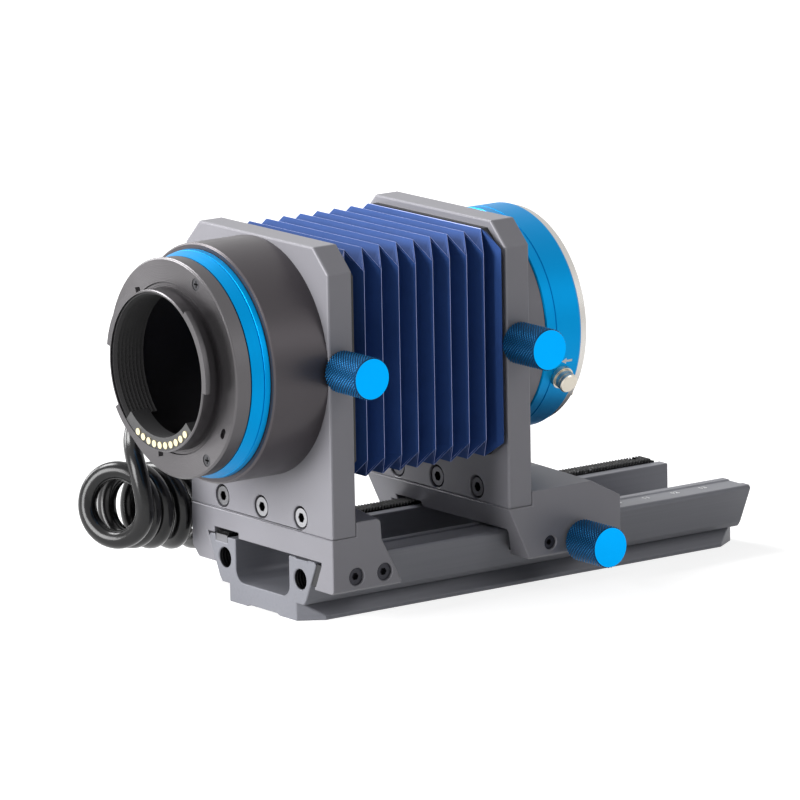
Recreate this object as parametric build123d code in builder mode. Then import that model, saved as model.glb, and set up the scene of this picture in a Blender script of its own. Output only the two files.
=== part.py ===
from build123d import *
from math import acos, cos, pi, radians, sin, sqrt, tan
import os

# Macro bellows unit: a camera-side mount and a lens-side mount on two standards, joined by a
# pleated bellows, on a dovetail rail. All lengths are in millimetres.
# X runs along the optical axis from the camera to the lens, -Y is the side with the knobs,
# Z is up. The origin is the middle of the rail's foot, on the surface that it stands on.

os.makedirs("parts", exist_ok=True)

# ---- driving dimensions ---------------------------------------------------------------------

# rail
rail_length = 150.0
rail_top = 17.7
foot_half_width = 20.0
foot_edge_height = 1.2
foot_relief_depth = 0.5
foot_relief_half_width = 6.3
foot_end_cut_length = 6.9
foot_end_cut_half_width = 15.6
groove_half_width = 16.25
arm_bottom_z = 4.95
flank_start = (20.3, 6.5)
flank_end = (25.0, 16.8)
cavity_half_width = 12.5
cavity_floor = 6.0
cavity_floor_radius = 3.5
rack_slot_near = 16.3
rack_slot_far = 21.9
rack_slot_floor = 16.0
scale_groove_near = -21.3
scale_groove_far = -15.4
scale_groove_depth = 0.3
end_hole_y = 17.6
end_hole_z = 11.9
end_hole_radius = 2.85
end_hole_depth = 12.0
tripod_thread_radius = 2.55

# standards
body_half_width = 33.0
plate_thickness = 8.0
plate_bottom = 25.1
plate_top = 104.2
plate_corner = 6.6
axis_height = 71.0
rear_plate_back = -rail_length / 2
plate_gap = 51.3
front_plate_back = rear_plate_back + plate_thickness + plate_gap
mount_bore_radius = 28.5
mount_sleeve_radius = 28.45
light_radius = 24.0
tube_radius = 32.7
lens_tube_radius = 30.9
tube_seat = 1.5
screw_pitch_y = 18.25
screw_height = 29.0
edge_chamfer = 0.35

# carriages
carriage_bottom = 10.1
carriage_edge_top = 29.0
carriage_crown = 31.6
roof_height = 18.15
rack_recess_near = 11.0
rack_recess_far = 22.4
rack_recess_top = 19.8
slide_clearance = 0.12
gib_gap = 0.12
gib_thickness = 2.2
gib_bottom = 11.0
gib_top = 17.3
skirt_lip = -24.3

# rack drive
gear_module = 1 / 3
pinion_teeth = 18
tooth_share = 0.42
rack_pitch_line = 18.5
pinion_x = 2.0
rack_start = -74.8
rack_end = 73.2
rack_screw_x = 68.5
rack_screw_y = 20.2
rack_screw_foot = 14.4
shaft_radius = 1.5
bush_radius = 2.5
pocket_radius = 3.9
drive_knob_radius = 4.8

# clamp knobs
knob_radius = 5.8
knob_length = 14.0
stud_radius = 2.0
running_gap = 0.05
knob_gap = 0.3

# bellows
pleat_pitch = 5.7
side_ridges = 8
bellows_half_width = 31.0
bellows_half_height = 31.6
pleat_depth = 7.0
side_ridge_half_length = 25.9
top_ridge_half_length = 26.05
bellows_height = 70.7
bellows_skin = 1.4
frame_thickness = 1.5

# coiled cable
cable_radius = 2.6
coil_radius = 9.6
coil_turns = 5.5
gland_angle = -25.0
gland_reach = 37.5

# camera side, from the plate outwards
camera_tube_end = rear_plate_back - 17.6
blue_ring_start = camera_tube_end - 0.25
blue_ring_end = rear_plate_back - 22.9
camera_flange_back = rear_plate_back - 26.6
camera_flange_face = rear_plate_back - 28.1
camera_mouth = rear_plate_back - 33.4

# lens side, from the plate outwards
lens_tube_start = front_plate_back + plate_thickness
lens_tube_end = lens_tube_start + 6.8
lens_ring_start = lens_tube_end + 0.3
lens_ring_end = lens_tube_start + 19.2
lens_flange_face = lens_ring_end + 2.5
button_x = lens_tube_start + 13.7
button_angle = 203.5
lock_pin_angle = 222.0

flank_slope = (flank_end[0] - flank_start[0]) / (flank_end[1] - flank_start[1])
optical_axis = Axis((0, 0, axis_height), (1, 0, 0))


def flank_y(z):
    """Half-width of the rail's leaning flank at a height."""
    return flank_start[0] + (z - flank_start[1]) * flank_slope


def across(x):
    """Plane square to the optical axis at x, with its origin on the axis."""
    return Plane(origin=(x, 0, axis_height), x_dir=(0, 1, 0), z_dir=(1, 0, 0))


def radial_plane(x, angle, radius=0.0):
    """Plane at x that faces outwards from the optical axis at an angle."""
    outward = Vector(0, cos(radians(angle)), sin(radians(angle)))
    return Plane(origin=Vector(x, 0, axis_height) + outward * radius, x_dir=(1, 0, 0), z_dir=outward)


def turned(outline):
    """Profile of a turned piece, given as points of x and radius."""
    with BuildSketch(Plane.XZ) as profile:
        with BuildLine():
            Polyline(*[(x, axis_height + radius) for x, radius in outline], close=True)
        make_face()
    return profile.sketch


def disc(plane, radius, *centres):
    """Round profiles of one radius at the given centres on a plane."""
    with BuildSketch(plane) as profile:
        with Locations(*(centres or [(0, 0)])):
            Circle(radius)
    return profile.sketch


def outline_on(plane, points):
    """Closed straight-sided profile on a plane."""
    with BuildSketch(plane) as profile:
        with BuildLine():
            Polyline(*points, close=True)
        make_face()
    return profile.sketch


def arc_band(plane, inner, outer, start_angle, end_angle):
    """Part of a flat ring between two angles."""
    with BuildSketch(plane) as band:
        with BuildLine():
            lower = CenterArc((0, 0), inner, start_angle, end_angle - start_angle)
            upper = CenterArc((0, 0), outer, start_angle, end_angle - start_angle)
            Line(lower @ 0, upper @ 0)
            Line(lower @ 1, upper @ 1)
        make_face()
    return band.sketch


def polar(radius, angle):
    """Point on a plane across the axis, from +Y towards +Z."""
    return (radius * cos(radians(angle)), radius * sin(radians(angle)))


# ---- rail -----------------------------------------------------------------------------------

# Extruded U rail: the dovetail foot, a groove each side, and two arms with leaning flanks.
with BuildPart() as rail:
    with BuildSketch(Plane.YZ.offset(-rail_length / 2)):
        with BuildLine():
            Polyline(
                (0, foot_relief_depth),
                (foot_relief_half_width, foot_relief_depth),
                (foot_relief_half_width + 1.2, 0),
                (foot_half_width, 0),
                (foot_half_width, foot_edge_height),
                (groove_half_width, arm_bottom_z),
                (flank_start[0] - 1.2, arm_bottom_z),
                flank_start,
                flank_end,
                (flank_end[0] - 0.6, rail_top),
                (cavity_half_width, rail_top),
                (cavity_half_width, cavity_floor),
                (0, cavity_floor),
                close=True,
            )
        make_face()
        mirror(about=Plane.YZ)
    extrude(amount=rail_length)
    floor_edges = rail.edges().filter_by(Axis.X).filter_by(
        lambda edge: abs(abs(edge.center().Y) - cavity_half_width) < 0.01
        and abs(edge.center().Z - cavity_floor) < 0.01
    )
    fillet(floor_edges, cavity_floor_radius)
    # the foot's four corners are cut back in plan so that it starts easily in a clamp
    with BuildSketch(Plane.XY):
        with BuildLine():
            Polyline(
                (rail_length / 2, foot_end_cut_half_width),
                (rail_length / 2, foot_half_width + 0.1),
                (rail_length / 2 - foot_end_cut_length, foot_half_width + 0.1),
                close=True,
            )
        make_face()
        mirror(about=Plane.XZ)
        mirror(about=Plane.YZ)
    extrude(amount=arm_bottom_z, mode=Mode.SUBTRACT)
    # slot for the rack and shallow groove for the scale
    with BuildSketch(Plane.YZ.offset(-rail_length / 2)):
        with Locations(((rack_slot_near + rack_slot_far) / 2, (rack_slot_floor + rail_top) / 2)):
            Rectangle(rack_slot_far - rack_slot_near, rail_top - rack_slot_floor)
        with Locations(((scale_groove_near + scale_groove_far) / 2, rail_top - scale_groove_depth / 2)):
            Rectangle(scale_groove_far - scale_groove_near, scale_groove_depth)
    extrude(amount=rail_length, mode=Mode.SUBTRACT)
    # two threaded holes in each end face
    end_hole_places = [(-end_hole_y, end_hole_z), (end_hole_y, end_hole_z)]
    for end, inward in ((-rail_length / 2, 1), (rail_length / 2, -1)):
        extrude(disc(Plane.YZ.offset(end), end_hole_radius, *end_hole_places),
                amount=inward * end_hole_depth, mode=Mode.SUBTRACT)
    # threads for the rack's two screws, and the tripod thread in the floor
    rack_screw_places = [(-rack_screw_x, rack_screw_y), (rack_screw_x, rack_screw_y)]
    extrude(disc(Plane.XY.offset(rack_screw_foot), 0.8, *rack_screw_places), amount=2, mode=Mode.SUBTRACT)
    extrude(disc(Plane.XY, tripod_thread_radius), amount=cavity_floor, mode=Mode.SUBTRACT)
rail.part.label = "rail"
export_step(rail.part, "parts/rail.step")

# ---- rack -----------------------------------------------------------------------------------

tooth_pitch = pi * gear_module
pinion_radius = gear_module * pinion_teeth / 2
pinion_z = rack_pitch_line + pinion_radius
tooth_half = tooth_share * tooth_pitch / 2
rack_tip = rack_pitch_line + gear_module
rack_root = rack_pitch_line - 1.25 * gear_module
tip_half = tooth_half - gear_module * tan(radians(20))
root_half = tooth_half + 1.25 * gear_module * tan(radians(20))

# Toothed bar in the far arm's slot. A gap, not a tooth, lies under the pinion's axis.
first_tooth = int((rack_start - pinion_x) / tooth_pitch) + 0.5
tooth_count = int((rack_end - rack_start) / tooth_pitch) - 1
rack_points = [(rack_start, rack_slot_floor), (rack_start, rack_root)]
for tooth in range(tooth_count):
    centre = pinion_x + (first_tooth + tooth) * tooth_pitch
    rack_points += [
        (centre - root_half, rack_root),
        (centre - tip_half, rack_tip),
        (centre + tip_half, rack_tip),
        (centre + root_half, rack_root),
    ]
rack_points += [(rack_end, rack_root), (rack_end, rack_slot_floor)]
rack_head_top = rack_root - 0.1
rack_head_seat = rack_head_top - 1.0
with BuildPart() as rack:
    extrude(outline_on(Plane.XZ.offset(-(rack_slot_far - 0.2)), rack_points), amount=5.2)
    extrude(disc(Plane.XY.offset(rack_head_seat), 1.35, *rack_screw_places), amount=3, mode=Mode.SUBTRACT)
    extrude(disc(Plane.XY.offset(rack_slot_floor), 0.85, *rack_screw_places), amount=3, mode=Mode.SUBTRACT)
rack.part.label = "rack"
export_step(rack.part, "parts/rack.step")

# Two short screws hold the rack in its slot. Their heads lie below the roots of its teeth.
with BuildPart() as rack_screws:
    extrude(disc(Plane.XY.offset(rack_screw_foot), 0.8, *rack_screw_places),
            amount=rack_head_seat - rack_screw_foot)
    extrude(disc(Plane.XY.offset(rack_head_seat), 1.3, *rack_screw_places), amount=1.0)
    with BuildSketch(Plane.XY.offset(rack_head_top)) as sockets:
        with Locations(*rack_screw_places):
            RegularPolygon(0.65, 6)
    extrude(sockets.sketch, amount=-0.6, mode=Mode.SUBTRACT)
rack_screws.part.label = "rack_screws"
export_step(rack_screws.part, "parts/rack_screws.step")

# ---- carriages ------------------------------------------------------------------------------


def channel(plane):
    """The space that a carriage leaves round the rail, its rack and its gib."""
    near = -(gib_gap + gib_thickness)
    return outline_on(plane, [
        (skirt_lip, 0),
        (skirt_lip, gib_bottom),
        (near - flank_y(gib_bottom), gib_bottom),
        (near - flank_y(gib_top), gib_top),
        (near - flank_y(gib_top), roof_height),
        (rack_recess_near, roof_height),
        (rack_recess_near, rack_recess_top),
        (rack_recess_far, rack_recess_top),
        (rack_recess_far, roof_height),
        (slide_clearance + flank_y(roof_height), roof_height),
        (slide_clearance + flank_y(carriage_bottom), carriage_bottom),
        (slide_clearance + flank_y(carriage_bottom), 0),
    ])


def crown(plane):
    """Seen along the rail, a carriage's top is an arc and its lower edges are eased."""
    with BuildSketch(plane) as profile:
        with BuildLine():
            ThreePointArc((-body_half_width, carriage_edge_top), (0, carriage_crown),
                          (body_half_width, carriage_edge_top))
            Polyline((body_half_width, carriage_edge_top), (body_half_width, carriage_bottom + 3),
                     (body_half_width - 3, carriage_bottom), (-body_half_width + 0.6, carriage_bottom),
                     (-body_half_width, carriage_bottom + 0.6), (-body_half_width, carriage_edge_top))
        make_face()
    return profile.sketch


def gib(start, end):
    """Strip between a carriage's near skirt and the rail's near flank."""
    extrude(outline_on(Plane.YZ.offset(start), [
        (-gib_gap - flank_y(gib_bottom), gib_bottom),
        (-gib_gap - flank_y(gib_top), gib_top),
        (-gib_gap - gib_thickness - flank_y(gib_top), gib_top),
        (-gib_gap - gib_thickness - flank_y(gib_bottom), gib_bottom),
    ]), amount=end - start)


screw_places = [(-screw_pitch_y, screw_height), (0, screw_height), (screw_pitch_y, screw_height)]
plate_screw_length = 6.2
rear_carriage_toe = rear_plate_back + 22.8
rear_upstand_front = rear_plate_back + 15.85
rear_set_places = [(rear_plate_back + 7.86, 14.1), (rear_plate_back + 17.2, 14.1)]

# Carriage under the rear standard, held at the rail's end by its two set screws.
with BuildPart() as rear_carriage:
    extrude(outline_on(Plane.XZ.offset(-body_half_width), [
        (rear_plate_back, carriage_bottom),
        (rear_plate_back, plate_bottom),
        (rear_plate_back + plate_thickness, plate_bottom),
        (rear_plate_back + plate_thickness, carriage_crown + 0.5),
        (rear_upstand_front, carriage_crown + 0.5),
        (rear_upstand_front + 0.55, 23.3),
        (rear_carriage_toe, 10.9),
        (rear_carriage_toe, carriage_bottom),
    ]), amount=2 * body_half_width)
    extrude(crown(Plane.YZ.offset(rear_plate_back)), amount=30, mode=Mode.INTERSECT)
    extrude(channel(Plane.YZ.offset(rear_plate_back)), amount=30, mode=Mode.SUBTRACT)
    extrude(disc(Plane.YZ.offset(rear_plate_back), 1.5, *screw_places),
            amount=plate_thickness + plate_screw_length + 0.8, mode=Mode.SUBTRACT)
    extrude(disc(Plane.XZ.offset(body_half_width), 2.45, *rear_set_places), amount=-8, mode=Mode.SUBTRACT)
    # the upstand's top edge is rounded on the side of the bellows
    top_edge = rear_carriage.edges().filter_by(
        lambda edge: abs(edge.center().X - rear_upstand_front) < 0.3
        and edge.center().Z > carriage_crown - 0.3
    )
    fillet(top_edge, 1.4)
rear_carriage.part.label = "rear_carriage"
export_step(rear_carriage.part, "parts/rear_carriage.step")

with BuildPart() as rear_gib:
    gib(rear_plate_back + 0.3, rear_carriage_toe - 0.6)
rear_gib.part.label = "rear_gib"
export_step(rear_gib.part, "parts/rear_gib.step")


def gib_face(height, point_radius):
    """How far out from the middle a flat point of a screw can reach before it meets the gib."""
    return gib_gap + gib_thickness + flank_y(height + point_radius)


def set_screws(places, radius, recess):
    """Hexagon socket set screws in the near skirt, with a small point against the gib."""
    outer_plane = Plane.XZ.offset(body_half_width - recess)
    point = gib_face(places[0][1], 1.1)
    extrude(disc(outer_plane, radius, *places), amount=-(body_half_width - recess - point - 0.7))
    extrude(disc(Plane.XZ.offset(point), 1.1, *places), amount=1.0)
    with BuildSketch(outer_plane) as sockets:
        with Locations(*places):
            RegularPolygon(radius * 0.45, 6)
    extrude(sockets.sketch, amount=-1.6, mode=Mode.SUBTRACT)


with BuildPart() as rear_set_screws:
    set_screws(rear_set_places, 2.45, 0.8)
rear_set_screws.part.label = "rear_set_screws"
export_step(rear_set_screws.part, "parts/rear_set_screws.step")

front_toe = front_plate_back + 6.9
front_block_end = front_plate_back + 38.35
front_set_places = [(front_plate_back + 14.0, 13.9)]
clamp_x = front_plate_back + 23.9
clamp_z = 13.4
pinion_plane = Plane.XZ.offset(-body_half_width)

# Carriage under the front standard. Its leaning back face nests with the rear carriage's toe.
front_slope = (carriage_edge_top - 23.8) / 9.8
slope_top = front_plate_back + 28.55 - (carriage_crown + 0.5 - carriage_edge_top) / front_slope
with BuildPart() as front_carriage:
    extrude(outline_on(Plane.XZ.offset(-body_half_width), [
        (front_plate_back, plate_bottom),
        (front_plate_back + plate_thickness, plate_bottom),
        (front_plate_back + plate_thickness, carriage_crown + 0.5),
        (slope_top, carriage_crown + 0.5),
        (front_block_end, 23.8),
        (front_block_end, carriage_bottom),
        (front_toe, carriage_bottom),
    ]), amount=2 * body_half_width)
    extrude(crown(Plane.YZ.offset(front_plate_back)), amount=40, mode=Mode.INTERSECT)
    extrude(channel(Plane.YZ.offset(front_plate_back)), amount=40, mode=Mode.SUBTRACT)
    extrude(disc(Plane.YZ.offset(front_plate_back), 1.5, *screw_places),
            amount=plate_thickness + plate_screw_length + 0.8, mode=Mode.SUBTRACT)
    extrude(disc(Plane.XZ.offset(body_half_width), 1.95, *front_set_places), amount=-8, mode=Mode.SUBTRACT)
    extrude(disc(Plane.XZ.offset(body_half_width), stud_radius + running_gap, (clamp_x, clamp_z)),
            amount=-8, mode=Mode.SUBTRACT)
    # bore for the drive shaft and its bushes, and the pocket that the pinion turns in
    extrude(disc(pinion_plane, bush_radius, (pinion_x, pinion_z)), amount=10.6, mode=Mode.SUBTRACT)
    extrude(disc(Plane.XZ.offset(-rack_recess_far), pocket_radius, (pinion_x, pinion_z)),
            amount=6.4, mode=Mode.SUBTRACT)
front_carriage.part.label = "front_carriage"
export_step(front_carriage.part, "parts/front_carriage.step")

with BuildPart() as front_gib:
    gib(front_toe + 0.8, front_block_end - 0.6)
front_gib.part.label = "front_gib"
export_step(front_gib.part, "parts/front_gib.step")

with BuildPart() as front_set_screw:
    set_screws(front_set_places, 1.95, 0.8)
front_set_screw.part.label = "front_set_screw"
export_step(front_set_screw.part, "parts/front_set_screw.step")

# ---- standards ------------------------------------------------------------------------------

tube_screw_places = [polar(30.6, 45 + 90 * quarter) for quarter in range(4)]


def standard(back):
    """Upright plate with a round bore, chamfered top corners and a hole for the clamp's stud."""
    extrude(outline_on(Plane.YZ.offset(back), [
        (-body_half_width + edge_chamfer, plate_bottom),
        (-body_half_width, plate_bottom + edge_chamfer),
        (-body_half_width, plate_top - plate_corner),
        (-body_half_width + plate_corner, plate_top),
        (body_half_width - plate_corner, plate_top),
        (body_half_width, plate_top - plate_corner),
        (body_half_width, plate_bottom + edge_chamfer),
        (body_half_width - edge_chamfer, plate_bottom),
    ]), amount=plate_thickness)


def plate_holes(back):
    """The mount's bore, screw holes with recesses for the heads, and the stud's hole."""
    extrude(disc(across(back), mount_bore_radius), amount=plate_thickness, mode=Mode.SUBTRACT)
    extrude(disc(Plane.YZ.offset(back), 3.25, *screw_places), amount=3.6, mode=Mode.SUBTRACT)
    extrude(disc(Plane.YZ.offset(back), 1.5, *screw_places), amount=plate_thickness, mode=Mode.SUBTRACT)
    stud_hole = disc(Plane.XZ.offset(body_half_width), stud_radius + running_gap,
                     (back + plate_thickness / 2, axis_height))
    extrude(stud_hole, amount=-6, mode=Mode.SUBTRACT)


with BuildPart() as rear_plate:
    standard(rear_plate_back)
    rims = rear_plate.faces().sort_by(Axis.X)
    chamfer(rims[0].edges() + rims[-1].edges(), edge_chamfer)
    plate_holes(rear_plate_back)
    inner_face = rear_plate_back + plate_thickness
    extrude(disc(across(rear_plate_back), 1.0, *tube_screw_places),
            amount=plate_thickness, mode=Mode.SUBTRACT)
    extrude(disc(across(inner_face), 1.9, *tube_screw_places), amount=-1.2, mode=Mode.SUBTRACT)
rear_plate.part.label = "rear_plate"
export_step(rear_plate.part, "parts/rear_plate.step")

with BuildPart() as front_plate:
    standard(front_plate_back)
    rims = front_plate.faces().sort_by(Axis.X)
    chamfer(rims[0].edges() + rims[-1].edges(), edge_chamfer)
    plate_holes(front_plate_back)
    extrude(disc(across(lens_tube_start), lens_tube_radius), amount=-tube_seat, mode=Mode.SUBTRACT)
front_plate.part.label = "front_plate"
export_step(front_plate.part, "parts/front_plate.step")


def plate_screws(back):
    """Three socket head cap screws that fasten a plate to its carriage."""
    head_plane = Plane.YZ.offset(back + 0.4)
    extrude(disc(head_plane, 2.6, *screw_places), amount=3.2)
    extrude(disc(head_plane, 1.5, *screw_places), amount=plate_thickness - 0.4 + plate_screw_length)
    with BuildSketch(head_plane) as sockets:
        with Locations(*screw_places):
            RegularPolygon(1.45, 6)
    extrude(sockets.sketch, amount=1.6, mode=Mode.SUBTRACT)


with BuildPart() as rear_plate_screws:
    plate_screws(rear_plate_back)
rear_plate_screws.part.label = "rear_plate_screws"
export_step(rear_plate_screws.part, "parts/rear_plate_screws.step")

with BuildPart() as front_plate_screws:
    plate_screws(front_plate_back)
front_plate_screws.part.label = "front_plate_screws"
export_step(front_plate_screws.part, "parts/front_plate_screws.step")

# ---- camera side ----------------------------------------------------------------------------

lens_gland_x = (lens_tube_start + lens_tube_end) / 2
camera_gland_x = rear_plate_back - 9.0


def tube_screws(head_face, direction):
    """Four small screws that hold a tube against its standard."""
    extrude(disc(across(head_face), 1.9, *tube_screw_places), amount=direction * 1.2)
    extrude(disc(across(head_face), 1.0, *tube_screw_places), amount=direction * 12.0)
    with BuildSketch(across(head_face)) as recesses:
        with Locations(*tube_screw_places):
            Rectangle(1.8, 0.5)
            Rectangle(0.5, 1.8)
    extrude(recesses.sketch, amount=direction * 0.6, mode=Mode.SUBTRACT)


# Dark housing tube that carries the turning camera mount and the cable's outlet.
with BuildPart() as camera_tube:
    revolve(turned([
        (rear_plate_back, mount_bore_radius),
        (rear_plate_back, tube_radius),
        (camera_tube_end + 0.5, tube_radius),
        (camera_tube_end, tube_radius - 0.5),
        (camera_tube_end, mount_bore_radius),
    ]), axis=optical_axis)
    extrude(disc(across(rear_plate_back), 1.0, *tube_screw_places), amount=-4.4, mode=Mode.SUBTRACT)
    extrude(disc(radial_plane(camera_gland_x, gland_angle, 30.0), 4.2), amount=5, mode=Mode.SUBTRACT)
camera_tube.part.label = "camera_tube"
export_step(camera_tube.part, "parts/camera_tube.step")

with BuildPart() as camera_tube_screws:
    tube_screws(rear_plate_back + plate_thickness, -1)
camera_tube_screws.part.label = "camera_tube_screws"
export_step(camera_tube_screws.part, "parts/camera_tube_screws.step")

# Sleeve that turns in the tube and plate. The clamp's stud enters its groove.
groove_x = rear_plate_back + plate_thickness / 2
with BuildPart() as camera_sleeve:
    revolve(turned([
        (blue_ring_end, light_radius),
        (blue_ring_end, mount_sleeve_radius),
        (groove_x - 1.6, mount_sleeve_radius),
        (groove_x - 1.3, 27.3),
        (groove_x + 1.3, 27.3),
        (groove_x + 1.6, mount_sleeve_radius),
        (rear_plate_back + plate_thickness - 0.4, mount_sleeve_radius),
        (rear_plate_back + plate_thickness - 0.4, light_radius),
    ]), axis=optical_axis)
camera_sleeve.part.label = "camera_sleeve"
export_step(camera_sleeve.part, "parts/camera_sleeve.step")

with BuildPart() as camera_blue_ring:
    revolve(turned([
        (blue_ring_end, mount_sleeve_radius),
        (blue_ring_end, 29.8),
        (blue_ring_end + 3.2, 30.8),
        (blue_ring_end + 3.4, 30.5),
        (blue_ring_end + 3.6, 30.9),
        (blue_ring_start, 31.1),
        (blue_ring_start, mount_sleeve_radius),
    ]), axis=optical_axis)
camera_blue_ring.part.label = "camera_blue_ring"
export_step(camera_blue_ring.part, "parts/camera_blue_ring.step")

with BuildPart() as camera_collar:
    revolve(turned([
        (blue_ring_end, light_radius),
        (blue_ring_end, 29.5),
        (blue_ring_end - 0.4, 29.8),
        (camera_flange_back, 29.8),
        (camera_flange_back, light_radius),
    ]), axis=optical_axis)
camera_collar.part.label = "camera_collar"
export_step(camera_collar.part, "parts/camera_collar.step")

flange_screw_angles = [116.0, -4.0, -124.0]
flange_screw_places = [polar(27.4, angle) for angle in flange_screw_angles]
lug_angles = [(9.5, 67.5), (128.0, 187.0), (269.0, 327.0)]
bayonet_radius = 22.0
bayonet_bore = 21.4

# Bright flange with the barrel and three lugs of the bayonet that a camera body takes.
with BuildPart() as camera_flange:
    revolve(turned([
        (camera_flange_back, bayonet_bore),
        (camera_flange_back, 30.0),
        (camera_flange_face + 0.5, 30.0),
        (camera_flange_face, 29.5),
        (camera_flange_face, 23.4),
        (camera_flange_face + 0.4, 23.2),
        (camera_flange_face + 0.4, bayonet_radius),
        (camera_mouth + 0.3, bayonet_radius),
        (camera_mouth, bayonet_radius - 0.25),
        (camera_mouth, bayonet_bore),
    ]), axis=optical_axis)
    for start_angle, end_angle in lug_angles:
        lug = arc_band(across(camera_mouth), bayonet_radius - 0.3, 23.3, start_angle, end_angle)
        extrude(lug, amount=1.5)
    extrude(disc(across(camera_flange_face), 0.9, *flange_screw_places), amount=2, mode=Mode.SUBTRACT)
    extrude(disc(across(camera_flange_face), 1.7, *flange_screw_places), amount=0.8, mode=Mode.SUBTRACT)
    # oval recess for the camera's locking pin
    slot_angle = -148.6
    with BuildSketch(across(camera_flange_face)) as lock_slot:
        with Locations(polar(27.2, slot_angle)):
            SlotOverall(3.2, 1.7, rotation=slot_angle + 90)
    extrude(lock_slot.sketch, amount=1.1, mode=Mode.SUBTRACT)
camera_flange.part.label = "camera_flange"
export_step(camera_flange.part, "parts/camera_flange.step")


def cross_screws(face_x, inward, places, head, shank, length):
    """Small cross-recess screws, sunk in a flange's face. Inward is 1 or -1 along X."""
    top = across(face_x + inward * 0.15)
    extrude(disc(top, head, *places), amount=inward * 0.65)
    extrude(disc(top, shank, *places), amount=inward * length)
    with BuildSketch(top) as recesses:
        with Locations(*places):
            Rectangle(head * 1.1, 0.45)
            Rectangle(0.45, head * 1.1)
    extrude(recesses.sketch, amount=inward * 0.45, mode=Mode.SUBTRACT)


with BuildPart() as camera_flange_screws:
    cross_screws(camera_flange_face, 1, flange_screw_places, 1.7, 0.9, 1.35)
camera_flange_screws.part.label = "camera_flange_screws"
export_step(camera_flange_screws.part, "parts/camera_flange_screws.step")

baffle_wall = 0.5
baffle_rib = 0.5
baffle_ribs = 8
baffle_pitch = 1.2

# Matt black light trap inside the mount, with saw-tooth ribs and a gap for the contact block.
with BuildPart() as camera_baffle:
    baffle_start = camera_mouth + 0.6
    baffle_end = baffle_start + baffle_ribs * baffle_pitch
    rib_root = bayonet_bore - baffle_wall
    baffle_points = [(baffle_start, bayonet_bore)]
    for rib in range(baffle_ribs):
        rib_x = baffle_start + rib * baffle_pitch
        baffle_points += [(rib_x, rib_root), (rib_x + baffle_pitch - 0.2, rib_root - baffle_rib)]
    baffle_points += [(baffle_end, rib_root), (baffle_end, bayonet_bore)]
    revolve(turned(baffle_points), axis=optical_axis)
    extrude(arc_band(across(baffle_start - 1), 15, 23, -139, -45), amount=baffle_end - baffle_start + 2,
            mode=Mode.SUBTRACT)
camera_baffle.part.label = "camera_baffle"
export_step(camera_baffle.part, "parts/camera_baffle.step")

contact_centre = -97.0
contact_step = 7.5
contact_count = 10
contact_radius = 20.1
camera_contact_places = [
    polar(contact_radius, contact_centre + contact_step * (index - (contact_count - 1) / 2))
    for index in range(contact_count)
]

with BuildPart() as camera_contact_block:
    extrude(arc_band(across(camera_mouth + 0.2), 18.0, bayonet_bore, -138, -46), amount=5.8)
camera_contact_block.part.label = "camera_contact_block"
export_step(camera_contact_block.part, "parts/camera_contact_block.step")

with BuildPart() as camera_contacts:
    extrude(disc(across(camera_mouth - 0.1), 0.95, *camera_contact_places), amount=0.3)
camera_contacts.part.label = "camera_contacts"
export_step(camera_contacts.part, "parts/camera_contacts.step")

# ---- bellows --------------------------------------------------------------------------------

bellows_start = rear_plate_back + plate_thickness + frame_thickness
bellows_end = front_plate_back - frame_thickness
first_side_ridge = (bellows_start + bellows_end) / 2 - pleat_pitch * (side_ridges - 1) / 2


def pleats(skin):
    """Sections from end to end, in which ridges of the sides and of the top take turns."""
    side_end = side_ridge_half_length - skin
    top_end = top_ridge_half_length - skin
    stations = [(bellows_start, 0.5)]
    for half_pleat in range(2 * side_ridges + 1):
        stations.append((first_side_ridge + (half_pleat - 1) * pleat_pitch / 2, half_pleat % 2))
    stations.append((bellows_end, 0.5))
    sections = []
    for x, side_share in stations:
        side = bellows_half_width - skin - pleat_depth * (1 - side_share)
        top = bellows_half_height - skin - pleat_depth * side_share
        plane = Plane(origin=(x, 0, bellows_height), x_dir=(0, 1, 0), z_dir=(1, 0, 0))
        sections.append(outline_on(plane, [
            (side, -side_end), (side, side_end), (top_end, top), (-top_end, top),
            (-side, side_end), (-side, -side_end), (-top_end, -top), (top_end, -top),
        ]))
    return sections


# Pleated skin, open through the middle for the light.
with BuildPart() as bellows:
    loft(pleats(0), ruled=True)
    loft(pleats(bellows_skin), ruled=True, mode=Mode.SUBTRACT)
bellows.part.label = "bellows"
export_step(bellows.part, "parts/bellows.step")


def bellows_frame(start):
    """Thin black frame that grips an end of the bellows against its standard."""
    plane = Plane(origin=(start, 0, bellows_height), x_dir=(0, 1, 0), z_dir=(1, 0, 0))
    outer = 31.4
    corner = 6.2
    window = 22.6
    side = outer - corner
    extrude(outline_on(plane, [
        (outer, -side), (outer, side), (side, outer), (-side, outer),
        (-outer, side), (-outer, -side), (-side, -outer), (side, -outer),
    ]), amount=frame_thickness)
    with BuildSketch(plane) as opening:
        Rectangle(2 * window, 2 * window)
    extrude(opening.sketch, amount=frame_thickness, mode=Mode.SUBTRACT)


with BuildPart() as rear_bellows_frame:
    bellows_frame(rear_plate_back + plate_thickness)
rear_bellows_frame.part.label = "rear_bellows_frame"
export_step(rear_bellows_frame.part, "parts/rear_bellows_frame.step")

with BuildPart() as front_bellows_frame:
    bellows_frame(bellows_end)
front_bellows_frame.part.label = "front_bellows_frame"
export_step(front_bellows_frame.part, "parts/front_bellows_frame.step")

# ---- lens side ------------------------------------------------------------------------------

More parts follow.
